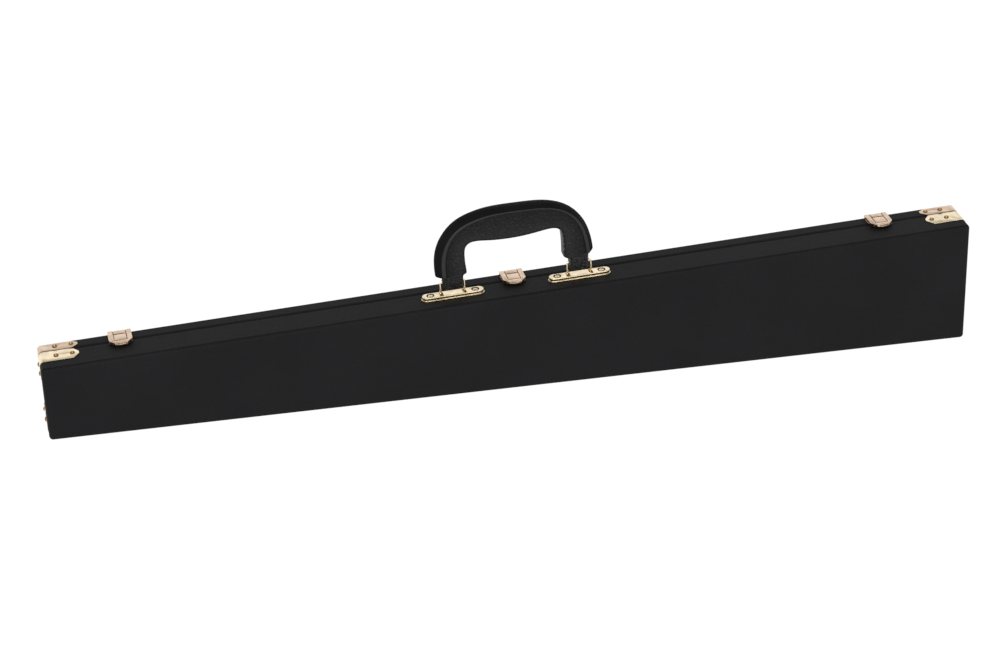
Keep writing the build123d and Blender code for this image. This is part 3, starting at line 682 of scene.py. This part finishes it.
def join(pieces, name):
    """Several pieces joined to one, in order."""
    only(pieces[0])
    for piece in pieces:
        piece.select_set(True)
    if len(pieces) > 1:
        bpy.ops.object.join()
    pieces[0].name = name
    pieces[0].data.name = name
    return pieces[0]


def settle(piece):
    """Puts a piece's place into its mesh, so that its object sits at the origin."""
    only(piece)
    bpy.ops.object.transform_apply(location=True, rotation=True, scale=True)


# Nails and rivets

HEAD_SIDES = 24
# The foot of a head as a part of its height, and then its turned steps, each an inset and a rise,
# as parts of its radius and of its height
HEAD_BASE = 0.24
HEAD_STEPS = ((0.12, 0.3), (0.14, 0.1), (0.2, -0.3), (0.08, -0.04), (0.12, 0.5), (0.14, 0.2))
# The bevel on a head, as a part of its radius and at most as a part of its foot's height
HEAD_BEVEL = 0.05
FOOT_BEVEL = 0.4
# The mesh attribute that marks a head's crown, which the corner nails give a painted highlight, and
# the crown's radius as a part of the head's
CROWN = "crown"
CROWN_SHARE = 0.4
# How far a direction points up or down when it counts as upright
UPRIGHT = 0.9


def turned_head(radius, height):
    """One round head with a groove turned in its crown, its flat side at the origin."""
    base = height * HEAD_BASE
    bpy.ops.object.select_all(action="DESELECT")
    bpy.ops.mesh.primitive_cylinder_add(
        vertices=HEAD_SIDES, radius=radius, depth=base, location=(0, 0, base / 2),
    )
    head = bpy.context.object
    settle(head)
    edit(head)
    select_where(head, "polygons", lambda face: face.normal.z > UPRIGHT)
    for inset, rise in HEAD_STEPS:
        bpy.ops.mesh.inset(thickness=inset * radius)
        bpy.ops.transform.translate(value=(0, 0, rise * height))
    bpy.ops.object.mode_set(mode="OBJECT")
    bevelled(head, min(HEAD_BEVEL * radius, FOOT_BEVEL * base))
    smooth(head, TURNED_ANGLE)
    crown = head.data.attributes.new(CROWN, "BOOLEAN", "FACE")
    for face in head.data.polygons:
        crown.data[face.index].value = face.center.xy.length < CROWN_SHARE * radius
    return head


def nail_axis(points, directions):
    """The way out of a pin's head: the known direction that the pin lies closest round."""
    centre = sum(points, Vector()) / len(points)

    def reach(point, way):
        return (point - centre).dot(way)

    def width(some, way):
        return max((p - centre - way * reach(p, way)).length for p in some)

    best = min(directions, key=lambda way: width(points, way))
    along = [reach(p, best) for p in points]
    middle = (max(along) + min(along)) / 2
    upper = [p for p in points if reach(p, best) > middle]
    lower = [p for p in points if reach(p, best) < middle]
    return best if width(upper, best) > width(lower, best) else -best


def seat_on(head, points, way, depth, name):
    """A copy of a head set on a pin, its flat side this far below the pin's end."""
    top = max(p.dot(way) for p in points)
    low = min(points, key=lambda p: p.dot(way))
    ring = [p for p in points if p.dot(way) < low.dot(way) + SAME_PLACE]
    centre = sum(ring, Vector()) / len(ring)
    foot = centre + way * (top - depth - centre.dot(way))
    piece = head.copy()
    piece.data = head.data.copy()
    piece.name = name
    bpy.context.scene.collection.objects.link(piece)
    turn = way.to_track_quat("Z", "Y").to_matrix().to_4x4()
    piece.matrix_world = Matrix.Translation(foot) @ turn
    bpy.context.view_layer.update()
    settle(piece)
    return piece


def nail_directions():
    """The ways that nails can point: out of the ends, the top and the lower edge."""
    lean = math.atan2(ALONG.z, ALONG.x) / 2
    end = Vector((math.cos(lean), 0, -math.sin(lean)))
    return [Vector((0, 0, 1)), OUT.copy(), end]


# How high the heads stand, and how far below the pin's end the corner nails' heads are seated
CORNER_HEAD_HEIGHT = 1.4 * MM
CORNER_HEAD_SEAT = 0.8 * MM
FLUSH_HEAD_HEIGHT = 0.12 * MM
BRACKET_HEAD_RADIUS = 2.2 * MM
BRACKET_HEAD_HEIGHT = 0.9 * MM
# The sunk ring round a bracket rivet: its radius, and how far below the top its painted shade
# starts and ends
BRACKET_RECESS_RADIUS = 3.5 * MM
BRACKET_RIM_DEPTH = 0.2 * MM
BRACKET_FLOOR_DEPTH = 0.8 * MM


def dress_pins(node, name, finish, radius, height, seat, directions):
    """Turned heads on all the pins of one node; those in the lower edge stay flush."""
    head = turned_head(radius, height)
    flush = turned_head(radius, FLUSH_HEAD_HEIGHT)
    heads = []
    for points in islands(node):
        way = nail_axis(points, directions)
        points_down = way.z < -UPRIGHT
        kind, depth = (flush, FLUSH_HEAD_HEIGHT) if points_down else (head, seat)
        heads.append(seat_on(kind, points, way, depth, name))
    for spare in (head, flush):
        bpy.data.objects.remove(spare)
    piece = join(heads, name)
    smooth(piece, TURNED_ANGLE)
    place_piece(piece, finish, body_of(node), node)
    # The corner nails' crowns get the lighter bronze, a painted highlight
    if finish == "nail_bronze":
        piece.data.materials.append(FINISHES["rubbed_bronze"])
        crowns = [mark.value for mark in piece.data.attributes[CROWN].data]
        for face, crown in zip(piece.data.polygons, crowns):
            face.material_index = int(crown)
    return piece


def paint_recess_shade(piece):
    """Paints shade on the sunk rings round the rivets of a bracket, with the dark brass."""
    piece.data.materials.append(FINISHES["dull_strike"])
    rivets = [sum(points, Vector()) / len(points) for points in islands("bracket_rivets")]
    top = max((v.co - HANDLE_FOOT).dot(OUT) for v in piece.data.vertices)
    for face in piece.data.polygons:
        depth = top - (face.center - HANDLE_FOOT).dot(OUT)
        gaps = [face.center - rivet for rivet in rivets]
        beside = min(math.hypot(gap.dot(ALONG), gap.dot(DEPTH)) for gap in gaps)
        if beside < BRACKET_RECESS_RADIUS and BRACKET_RIM_DEPTH < depth < BRACKET_FLOOR_DEPTH:
            face.material_index = 1


def paint_foot_shade(piece):
    """Paints shade on the low faces of a strike, which lie under the lever, with the dark brass."""
    piece.data.materials.append(FINISHES["dull_strike"])
    for face in piece.data.polygons:
        if (face.center - HANDLE_FOOT).dot(OUT) < STRIKE_FOOT_HEIGHT:
            face.material_index = 1


# The handle, whose stations are in millimetres in its own frame

POST_CENTRE = 54.8
# From the middle of the grip down to the shoulder of each post: the inner edge and the outer edge
# as (along, height), the part of its full width that the outer band has, and the half depth
WIDE_SIDE = (
    ((9.5, 49.1), (11.0, 76.2), 0.4, 8.5),
    ((19.0, 50.3), (21.8, 75.8), 0.4, 8.5),
    ((27.6, 51.7), (32.4, 74.6), 0.48, 8.5),
    ((33.2, 52.0), (42.4, 71.3), 0.58, 8.5),
    ((36.9, 50.9), (50.7, 66.0), 0.66, 8.5),
    ((39.4, 48.2), (57.5, 58.6), 0.72, 8.5),
    ((40.6, 44.2), (62.4, 50.1), 0.76, 8.5),
    ((41.0, 39.0), (65.3, 40.7), 0.8, 8.5),
    ((41.1, 32.5), (66.6, 33.8), 0.8, 8.4),
    ((41.0, 27.0), (67.2, 28.8), 0.8, 8.2),
    ((40.9, 23.6), (67.3, 26.5), 0.8, 8.0),
)
NARROW_SIDE = (
    ((10.4, 48.5), (11.5, 76.7), 0.42, 8.5),
    ((20.2, 49.1), (23.0, 76.4), 0.48, 8.5),
    ((28.6, 50.3), (34.0, 74.7), 0.6, 8.5),
    ((34.6, 50.7), (43.9, 71.6), 0.72, 8.5),
    ((39.0, 49.9), (52.4, 66.8), 0.78, 8.5),
    ((41.9, 47.3), (59.8, 59.3), 0.85, 8.5),
    ((43.0, 43.8), (65.5, 50.3), 0.92, 8.5),
    ((43.3, 38.5), (68.6, 40.5), 0.95, 8.5),
    ((43.1, 31.5), (69.3, 31.0), 0.95, 8.4),
    ((42.5, 26.3), (69.1, 24.3), 0.95, 8.2),
    ((42.3, 24.0), (68.8, 21.4), 0.95, 8.0),
)
GRIP_MIDDLE = ((0.0, 48.5), (0.0, 76.5), 0.4, 8.5)
# Below the shoulder: height, half width and half depth of the tongue, and the share of the
# shoulder's slant that is left there
TONGUE_STATIONS = (
    (23.2, 12.0, 7.95, 1.0),
    (22.8, 10.6, 7.9, 1.0),
    (22.1, 9.3, 7.85, 0.9),
    (20.8, 8.7, 7.7, 0.6),
    (18.6, 8.6, 7.3, 0.3),
    (15.5, 8.6, 6.6, 0.1),
    (12.0, 8.6, 5.6, 0.0),
    (9.4, 8.6, 4.4, 0.0),
    (8.0, 8.5, 3.0, 0.0),
    (7.4, 8.2, 1.8, 0.0),
)
# For each post, how much higher its shoulder is at the inner and the outer edge than on the level,
# and how much wider its tongue is at those edges; then the height of the shoulder's rim
WIDE_SHOULDER = ((-1.2, 2.0), (0.0, -0.3))
NARROW_SHOULDER = ((-0.4, -1.8), (0.5, 0.0))
SHOULDER_EDGE = 0.45
# Half of the section, from the inner edge outward: the edge that a point is measured from, how far
# from it the point is, and its depth as a part of the half depth. On sections narrower than the
# full width the distances shrink with them
FULL_WIDTH = 24.6
SECTION = (
    ("inner", 0.0, 0.0),
    ("inner", 0.0, 0.42),
    ("inner", 0.25, 0.7),
    ("inner", 1.0, 0.87),
    ("inner", 2.6, 0.965),
    ("inner", 5.0, 0.99),
    ("middle", 0.0, 1.0),
    ("outer", 10.6, 0.97),
    ("outer", 9.7, 0.91),
    ("outer", 8.9, 0.98),
    ("outer", 6.9, 1.07),
    ("outer", 5.1, 1.0),
    ("outer", 4.3, 0.86),
    ("outer", 3.2, 0.74),
    ("outer", 1.9, 0.55),
    ("outer", 0.7, 0.36),
    ("outer", 0.1, 0.15),
)


# How much shade is painted on the leather, darker and duller, at the steps of the section in the
# dip inside the ridge, how much light is painted on the tongues, which makes them paler, and over
# how many rings that comes in
PAINTED_SHADE_STEPS = {6: 0.22, 7: 0.36, 8: 0.4, 9: 0.15}
TONGUE_PAINTED_LIGHT = -0.4
TONGUE_FADE = 7
# Which steps of the section are the seam inside the ridge, the ridge itself and the outer band; the
# seam and the band get painted shade, the ridge a painted highlight
SEAM_STEP = 8
RIDGE_STEPS = (9, 10)
BAND_STEP = 11


def section_ring(inner, outer, band, half_depth):
    """One closed ring of the handle: points round its section, in millimetres."""
    inner, outer = Vector(inner), Vector(outer)
    width = (outer - inner).length
    across = (outer - inner) / width
    scale = min(1.0, width / FULL_WIDTH)
    half = []
    for side, distance, depth in SECTION:
        reach = distance * scale
        along = {"inner": reach, "middle": width / 2, "outer": width - reach * band}
        spot = inner + across * along[side]
        half.append((spot.x, spot.y, depth * half_depth))
    front = [(x, -d, h) for x, h, d in half]
    back = [(x, d, h) for x, h, d in reversed(half[1:])]
    return front + back


def tongue_rings(last, shoulder):
    """The rings of one tongue, from the last ring of its post and its slanting shoulder down."""
    (inner_rise, outer_rise), (inner_extra, outer_extra) = shoulder
    inner, outer, band, half_depth = last
    drop = Vector((0, -SHOULDER_EDGE))
    yield section_ring(Vector(inner) + drop, Vector(outer) + drop, band, half_depth)
    for height, half_width, half_depth, slant in TONGUE_STATIONS:
        inner = (POST_CENTRE - half_width - inner_extra, height + slant * inner_rise)
        outer = (POST_CENTRE + half_width + outer_extra, height + slant * outer_rise)
        yield section_ring(inner, outer, band, half_depth)


def handle_rings():
    """All the rings from the wide tongue up over the grip and down to the narrow tongue."""
    wide = [section_ring(*station) for station in WIDE_SIDE]
    wide += tongue_rings(WIDE_SIDE[-1], WIDE_SHOULDER)
    narrow = [section_ring(*station) for station in NARROW_SIDE]
    narrow += tongue_rings(NARROW_SIDE[-1], NARROW_SHOULDER)
    mirrored = [[(-x, y, h) for x, y, h in ring] for ring in narrow]
    return list(reversed(wide)) + [section_ring(*GRIP_MIDDLE)] + mirrored


def make_handle():
    """The padded leather of the handle, lofted through its sections."""
    rings = handle_rings()
    around, count = len(rings[0]), len(rings)
    bpy.ops.object.select_all(action="DESELECT")
    bpy.ops.mesh.primitive_grid_add(x_subdivisions=around, y_subdivisions=count - 1, size=1)
    grip = bpy.context.object
    grip.name = grip.data.name = "leather_grip"
    hollow = grip.data.attributes.new(PAINTED_SHADING, "FLOAT", "POINT")
    for index, vertex in enumerate(grip.data.vertices):
        row, column = divmod(index, around + 1)
        vertex.co = handle_point(*rings[row][column % around])
        # Painted shade inside the ridge and painted light on the tongues, faded in over the rings
        step_painted_shade = PAINTED_SHADE_STEPS.get(min(column, around - column), 0.0)
        below = max(len(TONGUE_STATIONS) + 1 - min(row, count - 1 - row), 0)
        share = min(below / TONGUE_FADE, 1.0)
        hollow.data[index].value = (1 - share) * step_painted_shade + share * TONGUE_PAINTED_LIGHT
    edit(grip)
    bpy.ops.mesh.select_all(action="SELECT")
    bpy.ops.mesh.remove_doubles(threshold=MERGE_DISTANCE)
    bpy.ops.mesh.select_all(action="DESELECT")
    bpy.ops.mesh.select_mode(type="EDGE")
    bpy.ops.mesh.select_non_manifold()
    bpy.ops.mesh.edge_face_add()
    bpy.ops.mesh.select_all(action="SELECT")
    bpy.ops.mesh.normals_make_consistent(inside=False)
    bpy.ops.object.mode_set(mode="OBJECT")
    place_piece(grip, "grip_leather", "handle", "handle_grip")
    # Painted shade on the band and the seam, and a painted highlight on the ridge, as extra
    # leathers
    grip.data.materials.append(FINISHES["edge_leather"])
    grip.data.materials.append(FINISHES["ridge_leather"])
    for face in grip.data.polygons:
        face.material_index = leather_of(face, around, count)
    apply_modifier(grip, "SUBSURF", levels=2, render_levels=2)
    smooth(grip, PADDED_ANGLE)
    return grip


def leather_of(face, around, count):
    """Which leather a face of the loft has: 0 pebbled, 1 the band and the seam, darker and duller
    as painted shade, 2 the ridge, lighter as a painted highlight.
    """
    row, column = divmod(face.index, around)
    tongue = len(TONGUE_STATIONS)
    step = min(column, around - 1 - column)
    if not tongue <= row < count - 1 - tongue:
        return 0
    if step >= BAND_STEP or step == SEAM_STEP:
        return 1
    return 2 if step in RIDGE_STEPS else 0


# Linings and rests

# The grain of the mesh that a rest is rounded in, and how far a pass of smoothing moves it
REST_VOXEL = 1.3 * MM
REST_SMOOTHING = 0.6
LINING_THICKNESS = 1.2 * MM
# The width of the curve between a lining's floor and walls, and of a clip's rounded edges
LINING_BEND = 2.5 * MM
CLIP_EDGE = 0.3 * MM


def padded_rest(which):
    """One foam rest under its plush, its edges rounded by the padding."""
    node = which + "_rest"
    rest = copy_of(node, which + "_rest_padding")
    apply_modifier(rest, "REMESH", mode="VOXEL", voxel_size=REST_VOXEL)
    apply_modifier(rest, "SMOOTH", factor=REST_SMOOTHING, iterations=sizes().rest_rounding)
    smooth(rest, REST_ANGLE)
    place_piece(rest, "plush", body_of(node), node)
    return rest


def plush_tray(shell):
    """The lining of one shell, with its floor turned up in a curve to the walls."""
    node = shell + "_lining"
    tray = copy_of(node, shell + "_plush_tray")
    low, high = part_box(node)
    inner_floor = low.y + LINING_THICKNESS if shell == "base" else high.y - LINING_THICKNESS
    edit(tray)
    vertices = tray.data.vertices

    def at_floor(line):
        return all(abs(vertices[v].co.y - inner_floor) < SAME_LENGTH for v in line.vertices)

    select_where(tray, "edges", at_floor)
    bpy.ops.mesh.bevel(offset=LINING_BEND, segments=BEND_SEGMENTS, affect="EDGES")
    bpy.ops.object.mode_set(mode="OBJECT")
    smooth(tray, TURNED_ANGLE)
    place_piece(tray, "plush", body_of(node), node)
    return tray


# Operators, one for each piece or group of like pieces

class CASE_OT_finishes(bpy.types.Operator):
    """Makes every finish and puts each CAD piece in its own"""

    bl_idname = "case.finishes"
    bl_label = "Finishes"

    def execute(self, context):
        make_finishes()
        for row in frame["record"]["subparts"]:
            data = frame["nodes"][row["node"]].data
            data.materials.clear()
            data.materials.append(FINISHES[row["material_slot"]])
        return {"FINISHED"}


class CASE_OT_handle(bpy.types.Operator):
    """Makes the padded leather of the handle"""

    bl_idname = "case.handle"
    bl_label = "Leather grip"

    def execute(self, context):
        make_handle()
        return {"FINISHED"}


# How far in front of the CAD plates' back edge the lid's finished plates end
LID_PLATE_TRIM = 1.3 * MM


class CASE_OT_corner_plates(bpy.types.Operator):
    """Finishes the eight corner plates"""

    bl_idname = "case.corner_plates"
    bl_label = "Corner plates"

    def execute(self, context):
        for shell in SHELLS:
            finish = "yellow_brass" if shell == "base" else "rose_brass"
            tip, trim = (0.0, 0.0) if shell == "base" else (sizes().plate_tip, LID_PLATE_TRIM)
            for level in ("top", "bottom"):
                for end in ENDS:
                    node = f"{shell}_corner_{level}_{end}"
                    softened(node, finish, sizes().plate_edge, tip, trim)
        return {"FINISHED"}


class CASE_OT_nails(bpy.types.Operator):
    """Makes the round heads of the corner nails and of the bracket rivets"""

    bl_idname = "case.nails"
    bl_label = "Nails and rivets"

    def execute(self, context):
        for shell in SHELLS:
            dress_pins(
                shell + "_corner_nails", shell + "_nail_heads", "nail_bronze",
                sizes().nail_radius, CORNER_HEAD_HEIGHT, CORNER_HEAD_SEAT, nail_directions(),
            )
        dress_pins(
            "bracket_rivets", "bracket_rivet_heads", "yellow_brass",
            BRACKET_HEAD_RADIUS, BRACKET_HEAD_HEIGHT, BRACKET_HEAD_HEIGHT, [OUT.copy()],
        )
        return {"FINISHED"}


class CASE_OT_latches(bpy.types.Operator):
    """Finishes the levers, plates and strikes of the three latches"""

    bl_idname = "case.latches"
    bl_label = "Latches"

    def execute(self, context):
        for place in LATCHES:
            for part in ("lever", "plate", "strike"):
                ease = 0.0 if part == "lever" else sizes().latch_joint
                node = f"latch_{part}_{place}"
                piece = softened(node, "rose_brass", sizes().latch_edge, ease=ease)
                if part == "strike":
                    paint_foot_shade(piece)
        return {"FINISHED"}


class CASE_OT_brackets(bpy.types.Operator):
    """Finishes the flanges and straps of the two handle brackets"""

    bl_idname = "case.brackets"
    bl_label = "Handle brackets"

    def execute(self, context):
        for end in ENDS:
            for part in ("flange", "cover"):
                piece = softened(f"bracket_{part}_{end}", "yellow_brass", sizes().bracket_edge)
                if part == "cover":
                    paint_recess_shade(piece)
        return {"FINISHED"}


class CASE_OT_lining(bpy.types.Operator):
    """Makes the plush trays and the padded rests, and finishes the clips"""

    bl_idname = "case.lining"
    bl_label = "Lining and rests"

    def execute(self, context):
        for shell in SHELLS:
            plush_tray(shell)
        for which in ("tip", "frog"):
            padded_rest(which)
            softened(which + "_clip", "clip_plastic", CLIP_EDGE)
        return {"FINISHED"}


# The studio: a pale floor and background, soft lamps and the photograph's viewpoint

# The floor's edge behind the case, where it drops away so that the open lid has room
FLOOR_REACH = 6.0
FLOOR_EDGE = 8 * MM
FLOOR_DROP = 150 * MM
# The share of the lit floor in what the camera sees, and how strong the white of the rest is
SHADOW_SHARE = 0.12
FLOOR_WHITE = 1.1
# How strongly the surround lights the case from the lowest and from the highest direction
SURROUND_LOW = 0.62
SURROUND_HIGH = 0.2
# Metals see a white surround up to the first height, and the darker zenith from the second on
ZENITH_HEIGHTS = (0.6, 0.85)
ZENITH_WHITE = 0.35
# The view that was fitted to the photograph: sensor and lens in millimetres, the nearest distance
# that is seen, the place, and the ways to the right and down
SENSOR_WIDTH = 36
CAMERA_LENS = 95.40
NEAREST_SEEN = 0.01
CAMERA_PLACE = Vector((-0.44532, -1.93677, 1.10928))
CAMERA_RIGHT = Vector((0.97585, -0.21841, -0.00377))
CAMERA_DOWN = Vector((-0.10637, -0.46003, -0.88151))
# Each lamp: name, place, the point it faces, its size and its power in watts
LAMPS = (
    ("key_lamp", (-1.5, -2.4, 1.6), (0, 0, 0.05), 1.6, 36.0),
    ("fill_lamp", (0.7, -2.5, 0.9), (0, 0, 0.05), 1.6, 18.0),
    ("top_lamp", (0.2, 0.6, 2.4), (0, 0, 0.05), 1.8, 3.0),
)


def pale_for_eye(tree, strength):
    """How much of a plain white camera, glossy and clear rays see in place of the lit surface."""
    path = add_node(tree, "ShaderNodeLightPath")
    seen = math_node(tree, "MAXIMUM", path.outputs["Is Camera Ray"], path.outputs["Is Glossy Ray"])
    seen = math_node(tree, "MAXIMUM", seen, path.outputs["Is Transmission Ray"])
    return math_node(tree, "MULTIPLY", seen, strength)


def studio_floor():
    """A pale floor that is lower behind the case, so that the open lid has room."""
    bpy.ops.object.select_all(action="DESELECT")
    middle = (0, FLOOR_EDGE - FLOOR_REACH, 0)
    bpy.ops.mesh.primitive_plane_add(size=2 * FLOOR_REACH, location=middle)
    floor = bpy.context.object
    floor.name = floor.data.name = "studio_floor"
    settle(floor)
    edit(floor)
    vertices = floor.data.vertices

    def at_edge(line):
        return all(abs(vertices[v].co.y - FLOOR_EDGE) < MM for v in line.vertices)

    select_where(floor, "edges", at_edge)
    bpy.ops.mesh.extrude_region_move(TRANSFORM_OT_translate={"value": (0, 0, -FLOOR_DROP)})
    bpy.ops.mesh.extrude_region_move(TRANSFORM_OT_translate={"value": (0, FLOOR_REACH, 0)})
    bpy.ops.object.mode_set(mode="OBJECT")
    material, tree, shader, _ = new_material("pale_floor")
    white = linear(colours().studio)
    set_inputs(shader, {"Base Color": white, "Roughness": 1.0, "Specular IOR Level": 0.0})
    glow = add_node(tree, "ShaderNodeEmission", None, {"Color": white, "Strength": FLOOR_WHITE})
    share = pale_for_eye(tree, 1 - SHADOW_SHARE)
    mix = add_node(
        tree, "ShaderNodeMixShader", None,
        {0: share, 1: shader.outputs["BSDF"], 2: glow.outputs["Emission"]},
    )
    tree.links.new(mix.outputs["Shader"], tree.nodes["Material Output"].inputs["Surface"])
    floor.data.materials.append(material)


def studio_world():
    """A pale surround that lights the case less from above, and gives metals a darker zenith."""
    world = bpy.data.worlds.new("pale_surround")
    bpy.context.scene.world = world
    world.use_nodes = True
    tree = world.node_tree
    tree.nodes.clear()
    white = linear(colours().studio)
    way = add_node(tree, "ShaderNodeTexCoord").outputs["Generated"]
    height = add_node(tree, "ShaderNodeSeparateXYZ", None, {0: way}).outputs["Z"]
    light = spread(tree, height, SURROUND_LOW, SURROUND_HIGH)
    lit = add_node(tree, "ShaderNodeBackground", None, {"Color": white, "Strength": light})
    eye = add_node(tree, "ShaderNodeLightPath").outputs["Is Camera Ray"]
    zenith = spread(tree, height, 1.0, ZENITH_WHITE, *ZENITH_HEIGHTS)
    white_share = math_node(tree, "MAXIMUM", zenith, eye)
    seen = add_node(tree, "ShaderNodeBackground", None, {"Color": white, "Strength": white_share})
    share = pale_for_eye(tree, 1.0)
    mix = add_node(
        tree, "ShaderNodeMixShader", None,
        {0: share, 1: lit.outputs["Background"], 2: seen.outputs["Background"]},
    )
    out = add_node(tree, "ShaderNodeOutputWorld")
    tree.links.new(mix.outputs["Shader"], out.inputs["Surface"])


def studio_lamps():
    """Soft square lamps, each turned to the case."""
    for name, place, target, size, power in LAMPS:
        light = bpy.data.lights.new(name, "AREA")
        light.energy = power
        light.size = size
        lamp = bpy.data.objects.new(name, light)
        bpy.context.scene.collection.objects.link(lamp)
        lamp.location = place
        lamp.rotation_euler = (Vector(target) - Vector(place)).to_track_quat("-Z", "Y").to_euler()


def studio_camera():
    """The camera that was fitted to the photograph."""
    data = bpy.data.cameras.new("photo_view")
    data.sensor_width = SENSOR_WIDTH
    data.lens = CAMERA_LENS
    data.clip_start = NEAREST_SEEN
    camera = bpy.data.objects.new("photo_view", data)
    bpy.context.scene.collection.objects.link(camera)
    right = CAMERA_RIGHT.normalized()
    up = -CAMERA_DOWN.normalized()
    back = right.cross(up)
    axes = Matrix((right, up, back)).transposed().to_4x4()
    camera.matrix_world = Matrix.Translation(CAMERA_PLACE) @ axes
    bpy.context.scene.camera = camera


class CASE_OT_studio(bpy.types.Operator):
    """Makes the floor, the surround, the lamps and the camera"""

    bl_idname = "case.studio"
    bl_label = "Studio"

    def execute(self, context):
        context.scene.view_settings.view_transform = "Standard"
        studio_floor()
        studio_world()
        studio_lamps()
        studio_camera()
        return {"FINISHED"}


OPERATORS = (
    CASE_OT_finishes,
    CASE_OT_studio,
    CASE_OT_handle,
    CASE_OT_corner_plates,
    CASE_OT_nails,
    CASE_OT_latches,
    CASE_OT_brackets,
    CASE_OT_lining,
)


class CASE_PT_dresser(bpy.types.Panel):
    """Lists the operators and the sizes and colours of the case"""

    bl_idname = "CASE_PT_dresser"
    bl_label = "Bow Case"
    bl_space_type = "VIEW_3D"
    bl_region_type = "UI"
    bl_category = "Bow Case"

    def draw(self, context):
        layout = self.layout
        for operator in OPERATORS:
            layout.operator(operator.bl_idname)
        for group in (context.scene.case_sizes, context.scene.case_colours):
            for key in group.bl_rna.properties.keys():
                if key not in ("rna_type", "name"):
                    layout.prop(group, key)


CLASSES = (CaseSizes, CaseColours) + OPERATORS + (CASE_PT_dresser,)


def register():
    """Adds the panel, the operators, the sizes and the colours."""
    for item in CLASSES:
        bpy.utils.register_class(item)
    bpy.types.Scene.case_sizes = bpy.props.PointerProperty(type=CaseSizes)
    bpy.types.Scene.case_colours = bpy.props.PointerProperty(type=CaseColours)


def unregister():
    """Takes out what register adds."""
    del bpy.types.Scene.case_sizes
    del bpy.types.Scene.case_colours
    for item in reversed(CLASSES):
        bpy.utils.unregister_class(item)


def main():
    """Dresses the whole case, one operator after another."""
    register()
    for operator in OPERATORS:
        group, name = operator.bl_idname.split(".")
        getattr(getattr(bpy.ops, group), name)()


if __name__ == "__main__":
    main()
